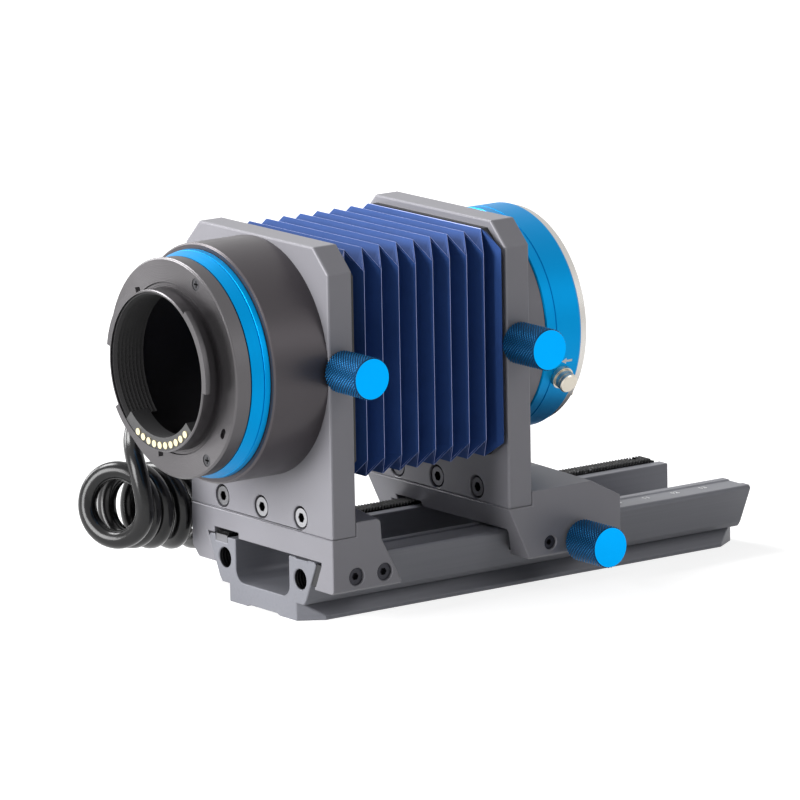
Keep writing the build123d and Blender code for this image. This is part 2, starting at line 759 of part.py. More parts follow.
# Grey tube, seated in the front plate.
with BuildPart() as lens_tube:
    revolve(turned([
        (lens_tube_start - tube_seat, mount_bore_radius),
        (lens_tube_start - tube_seat, lens_tube_radius),
        (lens_tube_end, lens_tube_radius),
        (lens_tube_end, mount_bore_radius),
    ]), axis=optical_axis)
    extrude(disc(radial_plane(lens_gland_x, gland_angle, 29.2), 3.3), amount=5, mode=Mode.SUBTRACT)
lens_tube.part.label = "lens_tube"
export_step(lens_tube.part, "parts/lens_tube.step")

# Sleeve that turns in the plate and tube, with a groove for the clamp's stud.
lens_groove_x = front_plate_back + plate_thickness / 2
lens_ring_seat = lens_ring_start + 2.0
with BuildPart() as lens_sleeve:
    revolve(turned([
        (front_plate_back + 1.2, light_radius),
        (front_plate_back + 1.2, mount_sleeve_radius),
        (lens_groove_x - 1.6, mount_sleeve_radius),
        (lens_groove_x - 1.3, 27.3),
        (lens_groove_x + 1.3, 27.3),
        (lens_groove_x + 1.6, mount_sleeve_radius),
        (lens_ring_seat, mount_sleeve_radius),
        (lens_ring_seat, light_radius),
    ]), axis=optical_axis)
lens_sleeve.part.label = "lens_sleeve"
export_step(lens_sleeve.part, "parts/lens_sleeve.step")

lens_ring_radius = 31.1
lens_ring_bore = 26.0
lens_pocket_radius = 27.2
lens_pocket_start = lens_ring_end - 1.6
collar_radius = 3.25
collar_foot = 26.6
collar_top = 32.2
button_radius = 2.8
button_bottom = 30.0
button_top = 35.3
button_bore_floor = 27.2
lock_pin_radius = 1.0
lock_pin_place = polar(28.6, lock_pin_angle)
lock_pin_start = lens_ring_end - 1.4
lock_pin_tip = lens_flange_face + 1.2
lock_spring_floor = lens_ring_end - 5.6
lens_screw_places = [polar(28.5, angle) for angle in (30.0, 150.0, 270.0)]

# Broad blue ring of the turning lens mount.
with BuildPart() as lens_ring:
    revolve(turned([
        (lens_ring_start, mount_sleeve_radius),
        (lens_ring_start, lens_ring_radius - 0.3),
        (lens_ring_start + 0.3, lens_ring_radius),
        (lens_ring_start + 3.1, lens_ring_radius),
        (lens_ring_start + 3.2, lens_ring_radius - 0.2),
        (lens_ring_start + 3.5, lens_ring_radius - 0.2),
        (lens_ring_start + 3.6, lens_ring_radius),
        (lens_ring_end - 0.6, lens_ring_radius),
        (lens_ring_end, lens_ring_radius - 0.4),
        (lens_ring_end, lens_pocket_radius),
        (lens_pocket_start, lens_pocket_radius),
        (lens_pocket_start, lens_ring_bore),
        (lens_ring_seat, lens_ring_bore),
        (lens_ring_seat, mount_sleeve_radius),
    ]), axis=optical_axis)
    extrude(disc(radial_plane(button_x, button_angle, collar_foot), collar_radius),
            amount=8, mode=Mode.SUBTRACT)
    extrude(disc(across(lens_ring_end), lock_pin_radius + running_gap, lock_pin_place),
            amount=lock_spring_floor - lens_ring_end, mode=Mode.SUBTRACT)
    extrude(disc(across(lens_ring_end), 0.7, *lens_screw_places), amount=-3.2, mode=Mode.SUBTRACT)
lens_ring.part.label = "lens_ring"
export_step(lens_ring.part, "parts/lens_ring.step")

lens_throat_radius = 26.5
lens_lug_radius = 24.4
lens_lug_angles = [(40.0, 95.0), (160.0, 215.0), (280.0, 335.0)]

# Bright flange that a lens seats on, with three inner lugs for the lens's bayonet.
with BuildPart() as lens_flange:
    revolve(turned([
        (lens_ring_end, lens_throat_radius),
        (lens_ring_end, 30.3),
        (lens_flange_face - 0.4, 30.3),
        (lens_flange_face, 29.9),
        (lens_flange_face, lens_throat_radius),
    ]), axis=optical_axis)
    for start_angle, end_angle in lens_lug_angles:
        lug = arc_band(across(lens_flange_face - 1.6), lens_lug_radius, lens_throat_radius + 0.3,
                       start_angle, end_angle)
        extrude(lug, amount=1.6)
    extrude(disc(across(lens_flange_face), 1.2, *lens_screw_places), amount=-0.8, mode=Mode.SUBTRACT)
    extrude(disc(across(lens_flange_face), 0.7, *lens_screw_places), amount=-3, mode=Mode.SUBTRACT)
    extrude(disc(across(lens_flange_face), lock_pin_radius + running_gap, lock_pin_place),
            amount=-3, mode=Mode.SUBTRACT)
lens_flange.part.label = "lens_flange"
export_step(lens_flange.part, "parts/lens_flange.step")

with BuildPart() as lens_flange_screws:
    cross_screws(lens_flange_face, -1, lens_screw_places, 1.2, 0.7, 5.2)
lens_flange_screws.part.label = "lens_flange_screws"
export_step(lens_flange_screws.part, "parts/lens_flange_screws.step")

# Three leaf springs behind the flange that press on a lens's lugs.
with BuildPart() as bayonet_springs:
    for start_angle in (-10.0, 110.0, 230.0):
        leaf = arc_band(across(lens_pocket_start), 24.8, lens_pocket_radius, start_angle, start_angle + 100)
        extrude(leaf, amount=0.5)
bayonet_springs.part.label = "bayonet_springs"
export_step(bayonet_springs.part, "parts/bayonet_springs.step")

block_start = lens_ring_end - 6.5
with BuildPart() as lens_contact_block:
    extrude(arc_band(across(block_start), 20.0, 23.9, -128, -52), amount=7.6)
    extrude(arc_band(across(block_start), 23.5, lens_ring_bore, -128, -52), amount=4.4)
lens_contact_block.part.label = "lens_contact_block"
export_step(lens_contact_block.part, "parts/lens_contact_block.step")

lens_contact_places = [polar(22.0, -90 + 7.0 * (index - 4.5)) for index in range(10)]
with BuildPart() as lens_contacts:
    extrude(disc(across(block_start + 7.6), 0.6, *lens_contact_places), amount=0.6)
lens_contacts.part.label = "lens_contacts"
export_step(lens_contacts.part, "parts/lens_contacts.step")

# Collar in the ring, with the blind bore that the release button slides in.
with BuildPart() as button_collar:
    extrude(disc(radial_plane(button_x, button_angle, collar_foot), collar_radius),
            amount=collar_top - collar_foot)
    extrude(disc(radial_plane(button_x, button_angle, button_bore_floor), button_radius + running_gap),
            amount=6, mode=Mode.SUBTRACT)
button_collar.part.label = "button_collar"
export_step(button_collar.part, "parts/button_collar.step")

with BuildPart() as release_button:
    extrude(disc(radial_plane(button_x, button_angle, button_bottom), button_radius),
            amount=button_top - button_bottom)
    rim = release_button.edges().filter_by(GeomType.CIRCLE).sort_by(
        lambda edge: Vector(edge.center()).Y ** 2 + (Vector(edge.center()).Z - axis_height) ** 2
    )[-1]
    chamfer(rim, 0.3)
    with BuildSketch(radial_plane(button_x, button_angle, button_top - 1.5)) as groove:
        Circle(button_radius + 0.1)
        Circle(button_radius - 0.25, mode=Mode.SUBTRACT)
    extrude(groove.sketch, amount=0.3, mode=Mode.SUBTRACT)
release_button.part.label = "release_button"
export_step(release_button.part, "parts/release_button.step")

with BuildPart() as lock_pin:
    extrude(disc(across(lock_pin_start), lock_pin_radius, lock_pin_place),
            amount=lock_pin_tip - lock_pin_start)
    chamfer(lock_pin.edges().sort_by(Axis.X)[-1], 0.25)
lock_pin.part.label = "lock_pin"
export_step(lock_pin.part, "parts/lock_pin.step")


def coil_spring(floor, towards, length, radius, wire, coils):
    """Compression spring from a floor point in a direction, as one coiled wire."""
    start = floor + towards * wire
    height = length - 2 * wire
    with BuildLine() as turns:
        Helix(height / coils, height, radius, center=start, direction=towards)
    with BuildSketch(Plane(origin=turns.wire() @ 0, z_dir=turns.wire() % 0)) as section:
        Circle(wire)
    sweep(section.sketch, path=turns.wire())


button_outward = radial_plane(button_x, button_angle).z_dir
with BuildPart() as button_spring:
    coil_spring(radial_plane(button_x, button_angle, button_bore_floor).origin, button_outward,
                button_bottom - button_bore_floor, 2.0, 0.2, 3)
button_spring.part.label = "button_spring"
export_step(button_spring.part, "parts/button_spring.step")

with BuildPart() as lock_pin_spring:
    coil_spring(Vector(lock_spring_floor, lock_pin_place[0], axis_height + lock_pin_place[1]),
                Vector(1, 0, 0), lock_pin_start - lock_spring_floor, 0.7, 0.15, 6)
lock_pin_spring.part.label = "lock_pin_spring"
export_step(lock_pin_spring.part, "parts/lock_pin_spring.step")

# ---- clamp knobs ----------------------------------------------------------------------------


def turned_across(x, z, side, outline):
    """Turned piece about a line along Y. Points are the distance from the middle and the radius."""
    plane = Plane(origin=(x, 0, z), x_dir=(0, side, 0), z_dir=(side, 0, 0))
    revolve(outline_on(plane, outline), axis=Axis((x, 0, z), (0, 1, 0)))


def clamp_knob(x, z, gap):
    """Knurled knob with eased rims and a blind hole for its stud."""
    base = body_half_width + gap
    end = body_half_width + knob_length
    turned_across(x, z, -1, [
        (base, stud_radius),
        (base, knob_radius - 0.25),
        (base + 0.25, knob_radius),
        (end - 0.25, knob_radius),
        (end, knob_radius - 0.25),
        (end, 0),
        (end - 6, 0),
        (end - 6, stud_radius),
    ])


def clamp_stud(x, z, tip, neck, tip_radius):
    """Stud of a knob, with a slimmer tip."""
    end = body_half_width + knob_length - 6
    turned_across(x, z, -1, [
        (tip, 0), (tip, tip_radius - 0.2), (tip + 0.2, tip_radius), (neck, tip_radius),
        (neck, stud_radius), (end, stud_radius), (end, 0),
    ])


with BuildPart() as rear_clamp_knob:
    clamp_knob(groove_x, axis_height, knob_gap)
rear_clamp_knob.part.label = "rear_clamp_knob"
export_step(rear_clamp_knob.part, "parts/rear_clamp_knob.step")

with BuildPart() as rear_clamp_stud:
    clamp_stud(groove_x, axis_height, 27.8, 29.0, 1.0)
rear_clamp_stud.part.label = "rear_clamp_stud"
export_step(rear_clamp_stud.part, "parts/rear_clamp_stud.step")

with BuildPart() as front_clamp_knob:
    clamp_knob(lens_groove_x, axis_height, knob_gap)
front_clamp_knob.part.label = "front_clamp_knob"
export_step(front_clamp_knob.part, "parts/front_clamp_knob.step")

with BuildPart() as front_clamp_stud:
    clamp_stud(lens_groove_x, axis_height, 27.8, 29.0, 1.0)
front_clamp_stud.part.label = "front_clamp_stud"
export_step(front_clamp_stud.part, "parts/front_clamp_stud.step")

washer_thickness = 0.8
with BuildPart() as carriage_clamp_knob:
    clamp_knob(clamp_x, clamp_z, knob_gap + washer_thickness)
carriage_clamp_knob.part.label = "carriage_clamp_knob"
export_step(carriage_clamp_knob.part, "parts/carriage_clamp_knob.step")

with BuildPart() as carriage_clamp_stud:
    stud_tip = gib_face(clamp_z, 1.4) + 0.1
    clamp_stud(clamp_x, clamp_z, stud_tip, stud_tip + 1.0, 1.4)
carriage_clamp_stud.part.label = "carriage_clamp_stud"
export_step(carriage_clamp_stud.part, "parts/carriage_clamp_stud.step")

with BuildPart() as carriage_clamp_washer:
    turned_across(clamp_x, clamp_z, -1, [
        (body_half_width + knob_gap, stud_radius),
        (body_half_width + knob_gap, 4.8),
        (body_half_width + knob_gap + washer_thickness, 4.8),
        (body_half_width + knob_gap + washer_thickness, stud_radius),
    ])
carriage_clamp_washer.part.label = "carriage_clamp_washer"
export_step(carriage_clamp_washer.part, "parts/carriage_clamp_washer.step")

# ---- rack drive -----------------------------------------------------------------------------

pressure = radians(20)
base_radius = pinion_radius * cos(pressure)


def involute(angle):
    """Involute function of a pressure angle in radians."""
    return tan(angle) - angle


def pressure_at(radius):
    """Pressure angle of the involute at a radius, zero inside the base circle."""
    return acos(min(1.0, base_radius / radius))


def flank_angle(radius):
    """Half of a pinion tooth's angular thickness at a radius."""
    at_pitch = tooth_half / pinion_radius + involute(pressure)
    return at_pitch - involute(pressure_at(radius))


# Pinion with involute teeth. One tooth points straight down into a gap of the rack.
tooth_radii = [pinion_radius + gear_module * share for share in (-1.25, -0.36, 0.0, 0.5, 1.0)]
pinion_points = []
for tooth in range(pinion_teeth):
    middle = -pi / 2 + tooth * 2 * pi / pinion_teeth
    flank = [(radius, middle - flank_angle(radius)) for radius in tooth_radii]
    flank += [(radius, middle + flank_angle(radius)) for radius in reversed(tooth_radii)]
    pinion_points += [
        (pinion_x + radius * cos(angle), pinion_z + radius * sin(angle)) for radius, angle in flank
    ]
with BuildPart() as pinion:
    extrude(outline_on(Plane.XZ.offset(-(rack_slot_far - 0.2)), pinion_points), amount=5.2)
    extrude(disc(Plane.XZ.offset(-rack_slot_far), shaft_radius, (pinion_x, pinion_z)),
            amount=6, mode=Mode.SUBTRACT)
pinion.part.label = "pinion"
export_step(pinion.part, "parts/pinion.step")

drive_knob_start = body_half_width + 0.6
drive_knob_end = body_half_width + 10.0
with BuildPart() as pinion_shaft:
    extrude(disc(Plane.XZ.offset(-(drive_knob_end - 1)), shaft_radius, (pinion_x, pinion_z)),
            amount=drive_knob_end - 1 - (rack_slot_near + 0.2))
pinion_shaft.part.label = "pinion_shaft"
export_step(pinion_shaft.part, "parts/pinion_shaft.step")

with BuildPart() as drive_knob:
    turned_across(pinion_x, pinion_z, 1, [
        (drive_knob_start, shaft_radius),
        (drive_knob_start, drive_knob_radius - 0.25),
        (drive_knob_start + 0.25, drive_knob_radius),
        (drive_knob_end - 0.25, drive_knob_radius),
        (drive_knob_end, drive_knob_radius - 0.25),
        (drive_knob_end, 0),
        (drive_knob_end - 1, 0),
        (drive_knob_end - 1, shaft_radius),
    ])
drive_knob.part.label = "drive_knob"
export_step(drive_knob.part, "parts/drive_knob.step")

with BuildPart() as drive_bush:
    extrude(disc(Plane.XZ.offset(-body_half_width), bush_radius, (pinion_x, pinion_z)), amount=10.4)
    extrude(disc(Plane.XZ.offset(-body_half_width), shaft_radius + running_gap, (pinion_x, pinion_z)),
            amount=11, mode=Mode.SUBTRACT)
drive_bush.part.label = "drive_bush"
export_step(drive_bush.part, "parts/drive_bush.step")

# ---- coiled cable ---------------------------------------------------------------------------


def cable_gland(x, foot, shoulder, foot_radius, mouth_radius):
    """Rubber sleeve in a tube's wall where the cable comes out."""
    extrude(disc(radial_plane(x, gland_angle, foot), foot_radius), amount=shoulder - foot)
    extrude(disc(radial_plane(x, gland_angle, shoulder), mouth_radius), amount=gland_reach - shoulder)


with BuildPart() as rear_cable_gland:
    cable_gland(camera_gland_x, 30.0, 33.8, 4.2, 3.5)
rear_cable_gland.part.label = "rear_cable_gland"
export_step(rear_cable_gland.part, "parts/rear_cable_gland.step")

with BuildPart() as front_cable_gland:
    cable_gland(lens_gland_x, 29.2, 32.0, 3.3, 3.1)
front_cable_gland.part.label = "front_cable_gland"
export_step(front_cable_gland.part, "parts/front_cable_gland.step")

# The coil's middle line runs beside the rail and swings in behind the rear standard.
coil_end = Vector(rear_plate_back + 17.6, 46.3, 20.0)
coil_pitch = 7.3
coil_drop = 6.2
coil_swing = 8.0
swing_turns = 3.0
coil_turn_in = 34.0
heading_turns = 4.2


def coil_point(turn):
    """Point of the cable in its coil, which starts on the near side and goes down first."""
    heading = radians(coil_turn_in) * (max(0.0, heading_turns - turn) / heading_turns) ** 2.2
    middle = coil_end + Vector(
        coil_pitch * (turn - coil_turns),
        -coil_swing * (max(0.0, swing_turns - turn) / swing_turns) ** 2.4,
        coil_drop * (max(0.0, coil_turns - turn) / coil_turns) ** 1.6,
    )
    sideways = Vector(sin(heading), -cos(heading), 0)
    around = 2 * pi * turn
    return middle + sideways * (coil_radius * cos(around)) - Vector(0, 0, coil_radius * sin(around))


def coil_direction(turn):
    """Unit direction of the cable in its coil."""
    return (coil_point(turn + 0.001) - coil_point(turn - 0.001)).normalized()


gland_outward = radial_plane(0, gland_angle).z_dir
rear_exit = radial_plane(camera_gland_x, gland_angle, gland_reach).origin
front_exit = radial_plane(lens_gland_x, gland_angle, gland_reach).origin
straight = 2 * cable_radius
stations = [(rear_exit + gland_outward * straight, gland_outward)]
stations.append((Vector(rear_plate_back - 12.0, 42.3, 45.9), Vector(-0.52, -0.28, -0.81).normalized()))
stations.append((Vector(rear_plate_back - 16.25, 36.6, 40.8), Vector(-0.28, -0.61, -0.74).normalized()))
stations.append((Vector(rear_plate_back - 17.1, 31.7, 35.0), Vector(0.16, -0.51, -0.85).normalized()))
for half_turn in range(int(2 * coil_turns) + 1):
    stations.append((coil_point(half_turn / 2), coil_direction(half_turn / 2)))
stations.append((Vector(rear_plate_back + 30.0, 54.5, 31.5), Vector(0.97, -0.1, 0.2).normalized()))
stations.append((Vector(rear_plate_back + 50.0, 51.0, 34.0), Vector(0.93, -0.15, 0.33).normalized()))
stations.append((Vector(rear_plate_back + 66.0, 46.5, 43.5), Vector(0.62, -0.35, 0.7).normalized()))
stations.append((front_exit + gland_outward * straight, gland_outward * -1))


def biarc_joint(start, start_direction, end, end_direction):
    """Point where the two equal-reach arcs between two stations meet."""
    chord = end - start
    total = start_direction + end_direction
    spread = 2 * (1 - start_direction.dot(end_direction))
    reach = chord.dot(chord) / (4 * chord.dot(end_direction)) if spread < 1e-6 else (
        sqrt(chord.dot(total) ** 2 + spread * chord.dot(chord)) - chord.dot(total)
    ) / spread
    return (start + end + (start_direction - end_direction) * reach) * 0.5


with BuildPart() as coiled_cable:
    with BuildLine() as route:
        Line(rear_exit, stations[0][0])
        for (start, start_direction), (end, end_direction) in zip(stations, stations[1:]):
            joint = biarc_joint(start, start_direction, end, end_direction)
            first_arc = TangentArc(start, joint, tangent=start_direction)
            TangentArc(joint, end, tangent=first_arc % 1)
        Line(stations[-1][0], front_exit)
    with BuildSketch(Plane(origin=rear_exit, z_dir=gland_outward)):
        Circle(cable_radius)
    sweep(path=route.wire())
coiled_cable.part.label = "coiled_cable"
export_step(coiled_cable.part, "parts/coiled_cable.step")

cable_edges = route.wire().edges().sort_by(route.wire())
bend_radii = [edge.radius for edge in cable_edges if edge.geom_type == GeomType.CIRCLE]
points = []
travelled = 0.0
for edge in cable_edges:
    for step in range(16):
        points.append((travelled + edge.length * step / 16, edge @ (step / 16)))
    travelled += edge.length
self_gap = min(
    (far - near).length - 2 * cable_radius
    for index, (near_length, near) in enumerate(points)
    for far_length, far in points[index:]
    if far_length - near_length > 8 * cable_radius
)
print("cable length", round(travelled, 1), "tightest bend", round(min(bend_radii), 2))
print("cable least gap to itself", round(self_gap, 2))
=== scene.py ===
import bmesh
import bpy
from math import cos, pi, radians, sin
from mathutils import Matrix, Vector


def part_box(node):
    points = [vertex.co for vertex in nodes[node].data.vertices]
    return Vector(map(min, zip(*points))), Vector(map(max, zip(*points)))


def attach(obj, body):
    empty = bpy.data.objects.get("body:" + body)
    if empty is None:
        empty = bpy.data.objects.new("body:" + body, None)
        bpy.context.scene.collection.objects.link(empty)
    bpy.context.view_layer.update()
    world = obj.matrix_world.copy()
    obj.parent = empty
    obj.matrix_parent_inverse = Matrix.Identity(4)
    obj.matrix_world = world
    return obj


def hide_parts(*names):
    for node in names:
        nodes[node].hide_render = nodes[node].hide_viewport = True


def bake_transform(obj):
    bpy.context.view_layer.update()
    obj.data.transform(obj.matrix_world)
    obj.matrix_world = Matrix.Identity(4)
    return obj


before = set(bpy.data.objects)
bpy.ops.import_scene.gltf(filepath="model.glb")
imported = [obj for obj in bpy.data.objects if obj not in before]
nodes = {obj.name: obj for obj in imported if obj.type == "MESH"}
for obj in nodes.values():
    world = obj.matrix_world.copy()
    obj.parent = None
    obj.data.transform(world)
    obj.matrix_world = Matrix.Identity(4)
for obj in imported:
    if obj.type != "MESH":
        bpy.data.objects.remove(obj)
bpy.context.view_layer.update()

# ---- camera ----------------------------------------------------------------------------------
# A long lens looks from behind the camera side, a little above the unit, as in the photograph.


def in_scene(name, data):
    """A new object in the scene, at the origin."""
    thing = bpy.data.objects.new(name, data)
    bpy.context.scene.collection.objects.link(thing)
    return thing


camera_data = bpy.data.cameras.new("camera")
camera_data.lens = 358.87
camera_data.sensor_width = 36.0
camera_data.clip_start = 0.5
camera_data.clip_end = 20.0
camera = in_scene("camera", camera_data)
camera.matrix_world = Matrix((
    (0.80525, 0.134376, -0.577508, -1.288207),
    (-0.59268, 0.153838, -0.79061, -1.725653),
    (-0.017396, 0.978916, 0.20352, 0.496268),
    (0.0, 0.0, 0.0, 1.0),
))
bpy.context.scene.camera = camera
bpy.context.scene.view_settings.view_transform = "Standard"

# ---- light -----------------------------------------------------------------------------------
# Four soft boxes: one overhead towards the cable's side, a strong one that faces the camera
# mount, and weak ones on the knobs' side and on the cable's side.
for name, place, target, size, power in (
    ("overhead_box", (-0.4, 0.95, 1.15), (0, 0, 0.06), 0.6, 19.0),
    ("left_box", (-1.6, 0.15, 0.5), (-0.05, 0, 0.06), 0.9, 34.5),
    ("near_box", (0.6, -1.6, 0.8), (0, 0, 0.05), 0.7, 3.8),
    ("far_box", (-0.4, 1.6, 0.6), (0, 0, 0.06), 0.6, 9.0),
):
    lamp = bpy.data.lights.new(name, "AREA")
    lamp.shape = "SQUARE"
    lamp.size = size
    lamp.energy = power
    box = in_scene(name, lamp)
    box.location = place
    box.rotation_euler = (Vector(target) - Vector(place)).to_track_quat("-Z", "Y").to_euler()

# ---- backdrop --------------------------------------------------------------------------------
# The unit stands on a wide sheet of white paper under a white sky. Both look white to the
# camera and in reflections, and the paper keeps the unit's soft shadow.


def linear(code):
    """An sRGB hex colour as the linear values that shaders use."""
    channels = [int(code[i:i + 2], 16) / 255 for i in (1, 3, 5)]
    return [c / 12.92 if c <= 0.04045 else ((c + 0.055) / 1.055) ** 2.4 for c in channels] + [1.0]


def add(tree, kind, settings=None, links=None):
    """A node with its settings and links. A setting is a property's or an input's name."""
    node = tree.nodes.new(kind)
    for name, value in (settings or {}).items():
        if hasattr(node, str(name)):
            setattr(node, name, value)
        else:
            node.inputs[name].default_value = value
    for name, (source, output) in (links or {}).items():
        tree.links.new(source.outputs[output], node.inputs[name])
    return node


def new_material(name):
    """An empty node material and its tree."""
    material = bpy.data.materials.new(name)
    material.use_nodes = True
    material.node_tree.nodes.clear()
    return material, material.node_tree


def seen_white(tree):
    """1 for rays that show the backdrop: from the camera, reflected or let through."""
    rays = add(tree, "ShaderNodeLightPath")
    direct = add(tree, "ShaderNodeMath", {"operation": "MAXIMUM"},
                 {0: (rays, "Is Camera Ray"), 1: (rays, "Is Transmission Ray")})
    return add(tree, "ShaderNodeMath", {"operation": "MAXIMUM"},
               {0: (direct, 0), 1: (rays, "Is Glossy Ray")})


world = bpy.data.worlds.new("studio")
world.use_nodes = True
world.node_tree.nodes.clear()
strength = add(world.node_tree, "ShaderNodeMapRange", {"To Min": 0.15, "To Max": 1.0},
               {"Value": (seen_white(world.node_tree), 0)})
sky = add(world.node_tree, "ShaderNodeBackground", {"Color": (1, 1, 1, 1)},
          {"Strength": (strength, 0)})
add(world.node_tree, "ShaderNodeOutputWorld", None, {"Surface": (sky, 0)})
bpy.context.scene.world = world

sheet = bmesh.new()
bmesh.ops.create_grid(sheet, x_segments=1, y_segments=1, size=6.0)
floor_mesh = bpy.data.meshes.new("floor")
sheet.to_mesh(floor_mesh)
sheet.free()
floor = in_scene("floor", floor_mesh)
# Uncoated paper: dull, with fibre clouds of about 17 mm that are hardly lighter or darker.
white_paper, tree = new_material("white_paper")
place = add(tree, "ShaderNodeTexCoord")
fibre = add(tree, "ShaderNodeTexNoise", {"Scale": 60.0, "Detail": 3.0},
            {"Vector": (place, "Object")})
tone = add(tree, "ShaderNodeMapRange", {"To Min": 0.50, "To Max": 0.53}, {"Value": (fibre, 0)})
paper = add(tree, "ShaderNodeBsdfDiffuse", None, {"Color": (tone, 0)})
glow = add(tree, "ShaderNodeEmission", {"Color": (1, 1, 1, 1), "Strength": 0.8})
bright = add(tree, "ShaderNodeAddShader", None, {0: (paper, 0), 1: (glow, 0)})
sheet_look = add(tree, "ShaderNodeMixShader", None,
                 {"Fac": (seen_white(tree), 0), 1: (paper, 0), 2: (bright, 0)})
add(tree, "ShaderNodeOutputMaterial", None, {"Surface": (sheet_look, 0)})
floor_mesh.materials.append(white_paper)

# ---- coiled cable ----------------------------------------------------------------------------
# A round cable of 5.2 mm in a glossy black jacket. It leaves the housing on the far side, coils
# behind the rear standard and along the rail, and ends in the lens tube.
cable_length, cable_diameter = 0.4513, 0.0052
coil_turns, coil_pitch, coil_radius = 5.5, 0.0073, 0.00978
coil_end = Vector((-0.0574, 0.0463, 0.020))
# The first turns swing round towards the housing, drift to the near side and lie higher. Each of
# these fades to nothing along the coil, the faster the higher its power.
swing, swing_turns, swing_power = radians(34.0), 4.2, 2.2
drift, drift_turns, drift_power = 0.008, 3.0, 2.4
lift, lift_power = 0.0062, 1.6


def coil_point(turn):
    """Point of the cable in its coil, which starts on the near side and goes down first."""
    heading = swing * (max(0.0, swing_turns - turn) / swing_turns) ** swing_power
    centre = coil_end + Vector((
        coil_pitch * (turn - coil_turns),
        -drift * (max(0.0, drift_turns - turn) / drift_turns) ** drift_power,
        lift * (max(0.0, coil_turns - turn) / coil_turns) ** lift_power,
    ))
    sideways = Vector((sin(heading), -cos(heading), 0))
    around = 2 * pi * turn
    down = Vector((0, 0, -1))
    return centre + coil_radius * (sideways * cos(around) + down * sin(around))


per_turn = 16
cable_exit = (-0.084, 0.033987, 0.055152)
route = [cable_exit, (-0.084, 0.0387, 0.05295), (-0.0850, 0.0424, 0.0492),
         (-0.0885, 0.0413, 0.0440), (-0.0916, 0.0364, 0.0403), (-0.0925, 0.0323, 0.0352)]
route += [tuple(coil_point(step / per_turn)) for step in range(int(coil_turns * per_turn) + 1)]
route += [(-0.0560, 0.0560, 0.0262), (-0.0500, 0.0553, 0.0308), (-0.0380, 0.0536, 0.0324),
          (-0.0250, 0.0512, 0.0338), (-0.0135, 0.0486, 0.0392), (-0.0060, 0.0437, 0.0483),
          (-0.0043, 0.0387, 0.05295), (-0.0043, 0.033987, 0.055152)]
line = bpy.data.curves.new("cable_line", "CURVE")
line.dimensions = "3D"
line.resolution_u = 6
spline = line.splines.new("NURBS")
spline.points.add(len(route) - 1)
for point, place in zip(spline.points, route):
    point.co = (*place, 1.0)
spline.order_u = 3
spline.use_endpoint_u = True
cable_line = in_scene("cable_line", line)
bare_line = bpy.data.meshes.new_from_object(cable_line)
line.bevel_depth = cable_diameter / 2
line.bevel_resolution = 7
line.use_fill_caps = True
cable_mesh = bpy.data.meshes.new_from_object(cable_line)
bpy.data.objects.remove(cable_line)
cable = in_scene("cable_jacket", cable_mesh)
cable_mesh.shade_smooth()
# Extruded soft PVC: nearly black, with long clean reflections that waver a little, about once a
# diameter.
soft_pvc, tree = new_material("glossy_black_pvc")
place = add(tree, "ShaderNodeTexCoord")
waver = add(tree, "ShaderNodeTexNoise", {"Scale": 180.0, "Detail": 2.0},
            {"Vector": (place, "Object")})
gloss = add(tree, "ShaderNodeMapRange", {"To Min": 0.15, "To Max": 0.28}, {"Value": (waver, 0)})
relief = add(tree, "ShaderNodeBump", {"Strength": 0.25, "Distance": 0.0003}, {"Height": (waver, 0)})
surface = add(tree, "ShaderNodeBsdfPrincipled",
              {"Base Color": linear("#131314"), "IOR": 1.53, "Specular IOR Level": 0.32},
              {"Roughness": (gloss, 0), "Normal": (relief, 0)})
add(tree, "ShaderNodeOutputMaterial", None, {"Surface": (surface, 0)})
cable_mesh.materials.clear()
cable_mesh.materials.append(soft_pvc)
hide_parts("coiled_cable")
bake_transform(cable)

# ---- rail ------------------------------------------------------------------------------------
# One aluminium extrusion, bead blasted and anodised grey, with sawn ends and eased edges. Its
# end holes are threaded, and a white scale in centimetres is printed along the near arm.


def dress(material, *names):
    """Gives CAD nodes their material."""
    for name in names:
        nodes[name].data.materials.clear()
        nodes[name].data.materials.append(material)


def eased(name, material, body):
    """A copy of a CAD node whose sharp edges are eased by 0.2 mm, as a milled piece's edges are."""
    width, sharpest_kept, merged_within = 0.00022, radians(38), 0.000002
    shape = bmesh.new()
    shape.from_mesh(nodes[name].data)
    bmesh.ops.remove_doubles(shape, verts=shape.verts, dist=merged_within)
    bmesh.ops.dissolve_limit(shape, angle_limit=radians(0.5), verts=shape.verts, edges=shape.edges)
    sharp = [edge for edge in shape.edges
             if len(edge.link_faces) == 2 and edge.calc_face_angle() > sharpest_kept]
    bmesh.ops.bevel(shape, geom=sharp, offset=width, offset_type="OFFSET", affect="EDGES",
                    segments=1, profile=0.5, material=-1, clamp_overlap=False)
    mesh = bpy.data.meshes.new("eased_" + name)
    shape.to_mesh(mesh)
    shape.free()
    mesh.shade_smooth()
    mesh.set_sharp_from_angle(angle=radians(15))
    mesh.materials.clear()
    mesh.materials.append(material)
    piece = in_scene("eased_" + name, mesh)
    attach(piece, body)
    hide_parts(name)


